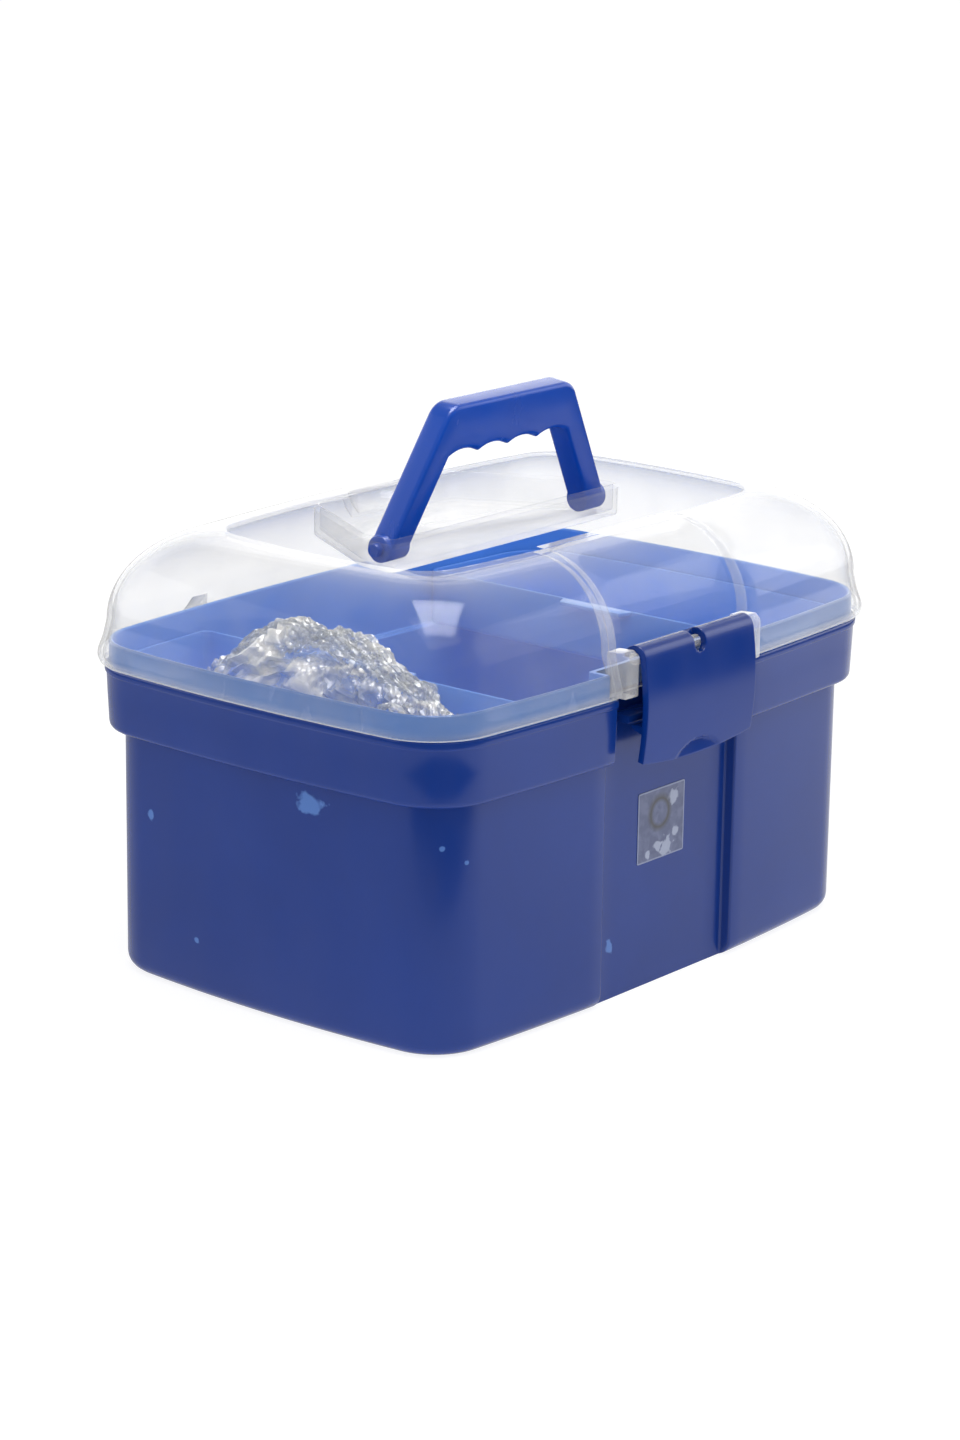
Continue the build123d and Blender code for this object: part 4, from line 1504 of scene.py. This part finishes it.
@dataclass
class Studio:
    """Pale floor, soft lights, dark flags that only reflections see, and the camera."""

    target: Vector = field(default_factory=lambda: Vector((0.0, 0.0, 0.09)))
    azimuth: float = -50.769
    elevation: float = 16.047
    roll: float = 0.866
    distance: float = 1.739148
    focal: float = 97.83
    shift: Point2 = (-0.00621, 0.01406)
    floor_size: float = 30.0
    sky: float = 0.62
    paper_edge: float = 0.345
    dark: float = 0.04
    left_glow: float = 0.55
    right_glow: float = 1.1
    flag_height: float = 1.2
    back_height: float = 2.6
    card_glow: float = 14.0

    def camera(self) -> None:
        """Place the camera."""
        a, e, r = (radians(v) for v in (self.azimuth, self.elevation, self.roll))
        back = Vector((sin(a) * cos(e), -cos(a) * cos(e), sin(e)))
        right = Vector((cos(a), sin(a), 0.0))
        up = back.cross(right)
        turned = cos(r) * right + sin(r) * up
        upright = cos(r) * up - sin(r) * right
        data = bpy.data.cameras.new("camera")
        data.sensor_width = 36.0
        data.lens = self.focal
        data.shift_x, data.shift_y = self.shift
        data.clip_start, data.clip_end = 0.01, 100.0
        camera = bpy.data.objects.new("camera", data)
        bpy.context.scene.collection.objects.link(camera)
        basis = Matrix((turned, upright, back)).transposed().to_4x4()
        basis.translation = self.target + back * self.distance
        camera.matrix_world = basis
        bpy.context.scene.camera = camera

    def _softbox(self, name: str, spot: Vector, aim: Vector, size: float, height: float,
                 radiance: float, colour: Colour = (1.0, 1.0, 1.0)) -> None:
        """Hang an area light.

        Args:
            name: its name.
            spot: where it hangs.
            aim: what it points at.
            size: its width.
            height: its height.
            radiance: brightness of its face.
            colour: its colour.
        """
        data = bpy.data.lights.new(name, "AREA")
        data.shape = "RECTANGLE"
        data.size, data.size_y = size, height
        data.energy = radiance * pi * size * height
        data.color = colour
        light = bpy.data.objects.new(name, data)
        light.location = spot
        light.rotation_euler = (aim - spot).to_track_quat("-Z", "Y").to_euler()
        bpy.context.scene.collection.objects.link(light)

    def _plain(self, name: str, colour: Colour, glow: float) -> bpy.types.Material:
        """A matt stage material with some glow."""
        material = bpy.data.materials.new(name)
        material.use_nodes = True
        shader = material.node_tree.nodes["Principled BSDF"]
        shader.inputs["Base Color"].default_value = (*colour, 1.0)
        shader.inputs["Roughness"].default_value = 1.0
        shader.inputs["Specular IOR Level"].default_value = 0.0
        shader.inputs["Emission Color"].default_value = (1.0, 1.0, 1.0, 1.0)
        shader.inputs["Emission Strength"].default_value = glow
        return material

    def _mirror_floor(self) -> None:
        """Lay the floor that only reflections see: pale near the box, dark towards the front."""
        bm = bmesh.new()
        bmesh.ops.create_grid(bm, x_segments=1, y_segments=1, size=4.0)
        bmesh.ops.translate(bm, verts=bm.verts, vec=(0.0, 0.0, 0.0004))
        mesh = bpy.data.meshes.new("mirror_floor")
        bm.to_mesh(mesh)
        bm.free()
        kit = NodeKit("mirror_floor")
        kit.shader.inputs["Base Color"].default_value = (0.0, 0.0, 0.0, 1.0)
        kit.shader.inputs["Specular IOR Level"].default_value = 0.0
        kit.shader.inputs["Emission Color"].default_value = (1.0, 1.0, 1.0, 1.0)
        split = kit.tree.nodes.new("ShaderNodeSeparateXYZ")
        kit.link(kit.place, split.inputs[0])
        ahead = kit.maths("ADD", kit.maths("MULTIPLY", split.outputs[0], -0.63),
                          kit.maths("MULTIPLY", split.outputs[1], -0.77))
        across = kit.maths("ADD", kit.maths("MULTIPLY", split.outputs[0], 0.77),
                           kit.maths("MULTIPLY", split.outputs[1], -0.63))
        near = kit.spread(ahead, self.paper_edge - 0.010, self.paper_edge + 0.014, 1.0, self.dark)
        right = kit.spread(across, -0.25, 0.55, self.left_glow, self.right_glow)
        far = kit.spread(kit.maths("ABSOLUTE", across, 0.0), 0.62, 0.84, 1.0, self.dark)
        kit.link(kit.maths("MULTIPLY", kit.maths("MULTIPLY", near, right), far),
                 kit.shader.inputs["Emission Strength"])
        mesh.materials.append(kit.material)
        self._reflected_only(bpy.data.objects.new("mirror_floor", mesh))

    def _flag(self, name: str, radius: float, ahead: Vector, glow: float, height: float) -> None:
        """Stand a half ring that only reflections see.

        Args:
            name: its name.
            radius: how far off it stands.
            ahead: the way to its middle.
            glow: how bright it is.
            height: how tall it is.
        """
        bm = bmesh.new()
        ring = bmesh.ops.create_circle(bm, segments=48, radius=radius)["verts"]
        bmesh.ops.delete(bm, geom=[v for v in ring if v.co.dot(ahead) < -0.1], context="VERTS")
        grown = bmesh.ops.extrude_edge_only(bm, edges=list(bm.edges))["geom"]
        moved = [g for g in grown if isinstance(g, bmesh.types.BMVert)]
        bmesh.ops.translate(bm, verts=moved, vec=(0.0, 0.0, height))
        mesh = bpy.data.meshes.new(name)
        bm.to_mesh(mesh)
        bm.free()
        mesh.materials.append(self._plain(name, (0.02, 0.02, 0.02), glow))
        self._reflected_only(bpy.data.objects.new(name, mesh))

    def _paper(self) -> None:
        """Lay the white paper that the camera sees."""
        bm = bmesh.new()
        bmesh.ops.create_grid(bm, x_segments=1, y_segments=1, size=self.floor_size / 2)
        bmesh.ops.translate(bm, verts=bm.verts, vec=(0.0, 0.0, 0.0002))
        mesh = bpy.data.meshes.new("paper")
        bm.to_mesh(mesh)
        bm.free()
        mesh.materials.append(self._plain("paper_white", (0.25, 0.25, 0.25), 0.86))
        paper = bpy.data.objects.new("paper", mesh)
        bpy.context.scene.collection.objects.link(paper)
        paper.visible_diffuse = False
        paper.visible_glossy = False
        paper.visible_shadow = False

        bm = bmesh.new()
        bmesh.ops.create_circle(bm, segments=64, radius=self.floor_size * 0.45)
        grown = bmesh.ops.extrude_edge_only(bm, edges=list(bm.edges))["geom"]
        moved = [g for g in grown if isinstance(g, bmesh.types.BMVert)]
        bmesh.ops.translate(bm, verts=moved, vec=(0.0, 0.0, self.floor_size * 0.45))
        mesh = bpy.data.meshes.new("paper_wall")
        bm.to_mesh(mesh)
        bm.free()
        mesh.materials.append(self._plain("wall_white", (0.02, 0.02, 0.02), 1.03))
        wall = bpy.data.objects.new("paper_wall", mesh)
        bpy.context.scene.collection.objects.link(wall)
        wall.visible_diffuse = False
        wall.visible_glossy = False
        wall.visible_shadow = False

    def _card(self) -> None:
        """Hang the bright card that the lid's dome mirrors."""
        bm = bmesh.new()
        bmesh.ops.create_grid(bm, x_segments=1, y_segments=1, size=0.5)
        bmesh.ops.scale(bm, verts=bm.verts, vec=(0.85, 1.05, 1.0))
        bmesh.ops.rotate(bm, verts=bm.verts, cent=(0, 0, 0), matrix=Matrix.Rotation(radians(-45), 3, "Z"))
        bmesh.ops.translate(bm, verts=bm.verts, vec=(0.12, -0.16, 1.5))
        mesh = bpy.data.meshes.new("bright_card")
        bm.to_mesh(mesh)
        bm.free()
        mesh.materials.append(self._plain("bright_card", (0.02, 0.02, 0.02), self.card_glow))
        self._reflected_only(bpy.data.objects.new("bright_card", mesh))

    @staticmethod
    def _reflected_only(obj: bpy.types.Object) -> None:
        """Show a stage object in reflections alone."""
        bpy.context.scene.collection.objects.link(obj)
        obj.visible_camera = False
        obj.visible_diffuse = False
        obj.visible_transmission = False
        obj.visible_volume_scatter = False
        obj.visible_shadow = False

    def build(self) -> None:
        """Set the stage."""
        scene = bpy.context.scene
        scene.view_settings.view_transform = "Standard"
        scene.cycles.transparent_max_bounces = 32
        world = bpy.data.worlds.new("sky")
        world.use_nodes = True
        sky = world.node_tree.nodes["Background"]
        sky.inputs["Color"].default_value = (1.0, 1.0, 1.0, 1.0)
        sky.inputs["Strength"].default_value = self.sky
        scene.world = world

        bm = bmesh.new()
        bmesh.ops.create_grid(bm, x_segments=1, y_segments=1, size=self.floor_size / 2)
        mesh = bpy.data.meshes.new("floor")
        bm.to_mesh(mesh)
        bm.free()
        mesh.materials.append(self._plain("floor_white", (0.8, 0.8, 0.8), 0.7))
        floor = bpy.data.objects.new("floor", mesh)
        scene.collection.objects.link(floor)
        floor.visible_glossy = False
        floor.visible_camera = False
        self._paper()
        self._mirror_floor()
        front = Vector((-0.63, -0.77, 0.0))
        self._flag("dark_flag", 3.0, front, self.dark, self.flag_height)
        self._flag("bright_flag", 3.4, -front, 2.0, self.back_height)
        self._card()

        middle = Vector((0.0, 0.0, 0.1))
        self._softbox("top_light", Vector((-0.15, -0.35, 1.35)), middle, 1.0, 1.0, 2.4)
        self._softbox("left_light", Vector((-1.6, 0.7, 0.9)), middle, 1.0, 1.2, 0.8)
        self._softbox("right_light", Vector((1.5, -1.3, 1.0)), middle, 1.2, 1.2, 1.3)
        self.camera()


# ---- The whole box ----------------------------------------------------------------------


def dress_node(node: str, material: bpy.types.Material) -> None:
    """Give a CAD node a better material.

    Args:
        node: the node's name.
        material: the material.
    """
    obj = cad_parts[node]
    for slot in obj.material_slots:
        slot.material = material
    log.info("%s: kept from the CAD", node)


def main() -> None:
    """Build every sub-assembly in order."""
    logging.basicConfig(level=logging.INFO, format="%(name)s %(message)s")
    Studio().build()
    tub_blue = PlasticFinish(
        "tub_blue", (0.0035, 0.030, 0.205), (0.003, 0.026, 0.18),
        scuffs=(Scuff((-0.1490, -0.027, 0.0995), 0.0052, (0.3, 0.66, 1.0)),
                Scuff((-0.1467, 0.066, 0.0755), 0.0024, (0.3, 1.0, 0.8)),
                Scuff((-0.1486, 0.038, 0.0255), 0.0018, (0.3, 1.0, 1.0)),
                Scuff((-0.0344, -0.0961, 0.0240), 0.0026, (1.0, 0.3, 0.7)),
                Scuff((-0.1383, -0.0893, 0.0910), 0.0016), Scuff((-0.1294, -0.0951, 0.0842), 0.0012)))
    # painted light: the inside gets a lighter copy of the tub's blue and a painted glow, standing in for light
    # through the walls
    lit_blue = PlasticFinish("tub_blue_inside_painted_light", (0.085, 0.245, 0.68), (0.07, 0.21, 0.62),
                             roughness=0.3, through=(0.008, 0.035, 0.10)).build()
    # painted light: the rim's thin outer face gets a lighter copy of the tub's blue
    rim_blue_painted_light = PlasticFinish("tub_blue_rim_painted_light", (0.050, 0.155, 0.44), (0.042, 0.135, 0.40),
                             roughness=0.2).build()
    Tub().build(tub_blue.build(), lit_blue, rim_blue_painted_light)
    clear = ClearFinish("lid_clear").build()
    Lid().build(clear, ClearFinish("lid_boss", tint=(0.92, 0.91, 0.90), milk=0.20, roughness=0.08, ior=1.9).build(),
                # lid edge finish: whiter, milkier clear plastic, partly painted highlight for the plastic's bright
                # edges
                ClearFinish("lid_edge_painted_highlight", tint=(0.86, 0.87, 0.88), milk=0.24, roughness=0.08, ior=1.9).build())
    Handle().build(PlasticFinish("handle_blue", (0.003, 0.060, 0.40), (0.002, 0.050, 0.35),
                                 roughness=0.2, specular=0.36).build())
    Latch().build(PlasticFinish("latch_blue", (0.002, 0.029, 0.205), (0.0015, 0.025, 0.185),
                                roughness=0.17, specular=0.36).build())
    # painted light: the trays get the tub inside's lighter, glowing copy of the blue, for light coming through
    # their walls
    tray_blue = PlasticFinish("tray_blue", (0.085, 0.245, 0.68), (0.07, 0.21, 0.62),
                              roughness=0.3, through=(0.006, 0.025, 0.07)).build()
    Tray(Side.LEFT, "left_tray").build(tray_blue)
    Tray(Side.RIGHT, "right_tray").build(tray_blue)
    FilmPouch().build(FilmFinish().build())
    low, high = (Vector(c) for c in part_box("label"))
    dress_node("label", LabelFinish(tuple((low + high) / 2), ((high.x - low.x) / 2, (high.z - low.z) / 2)).build())
    steel = SteelFinish().build()
    for pin in ("hinge_pin_left", "hinge_pin_right"):
        dress_node(pin, steel)


if __name__ == "__main__":
    main()
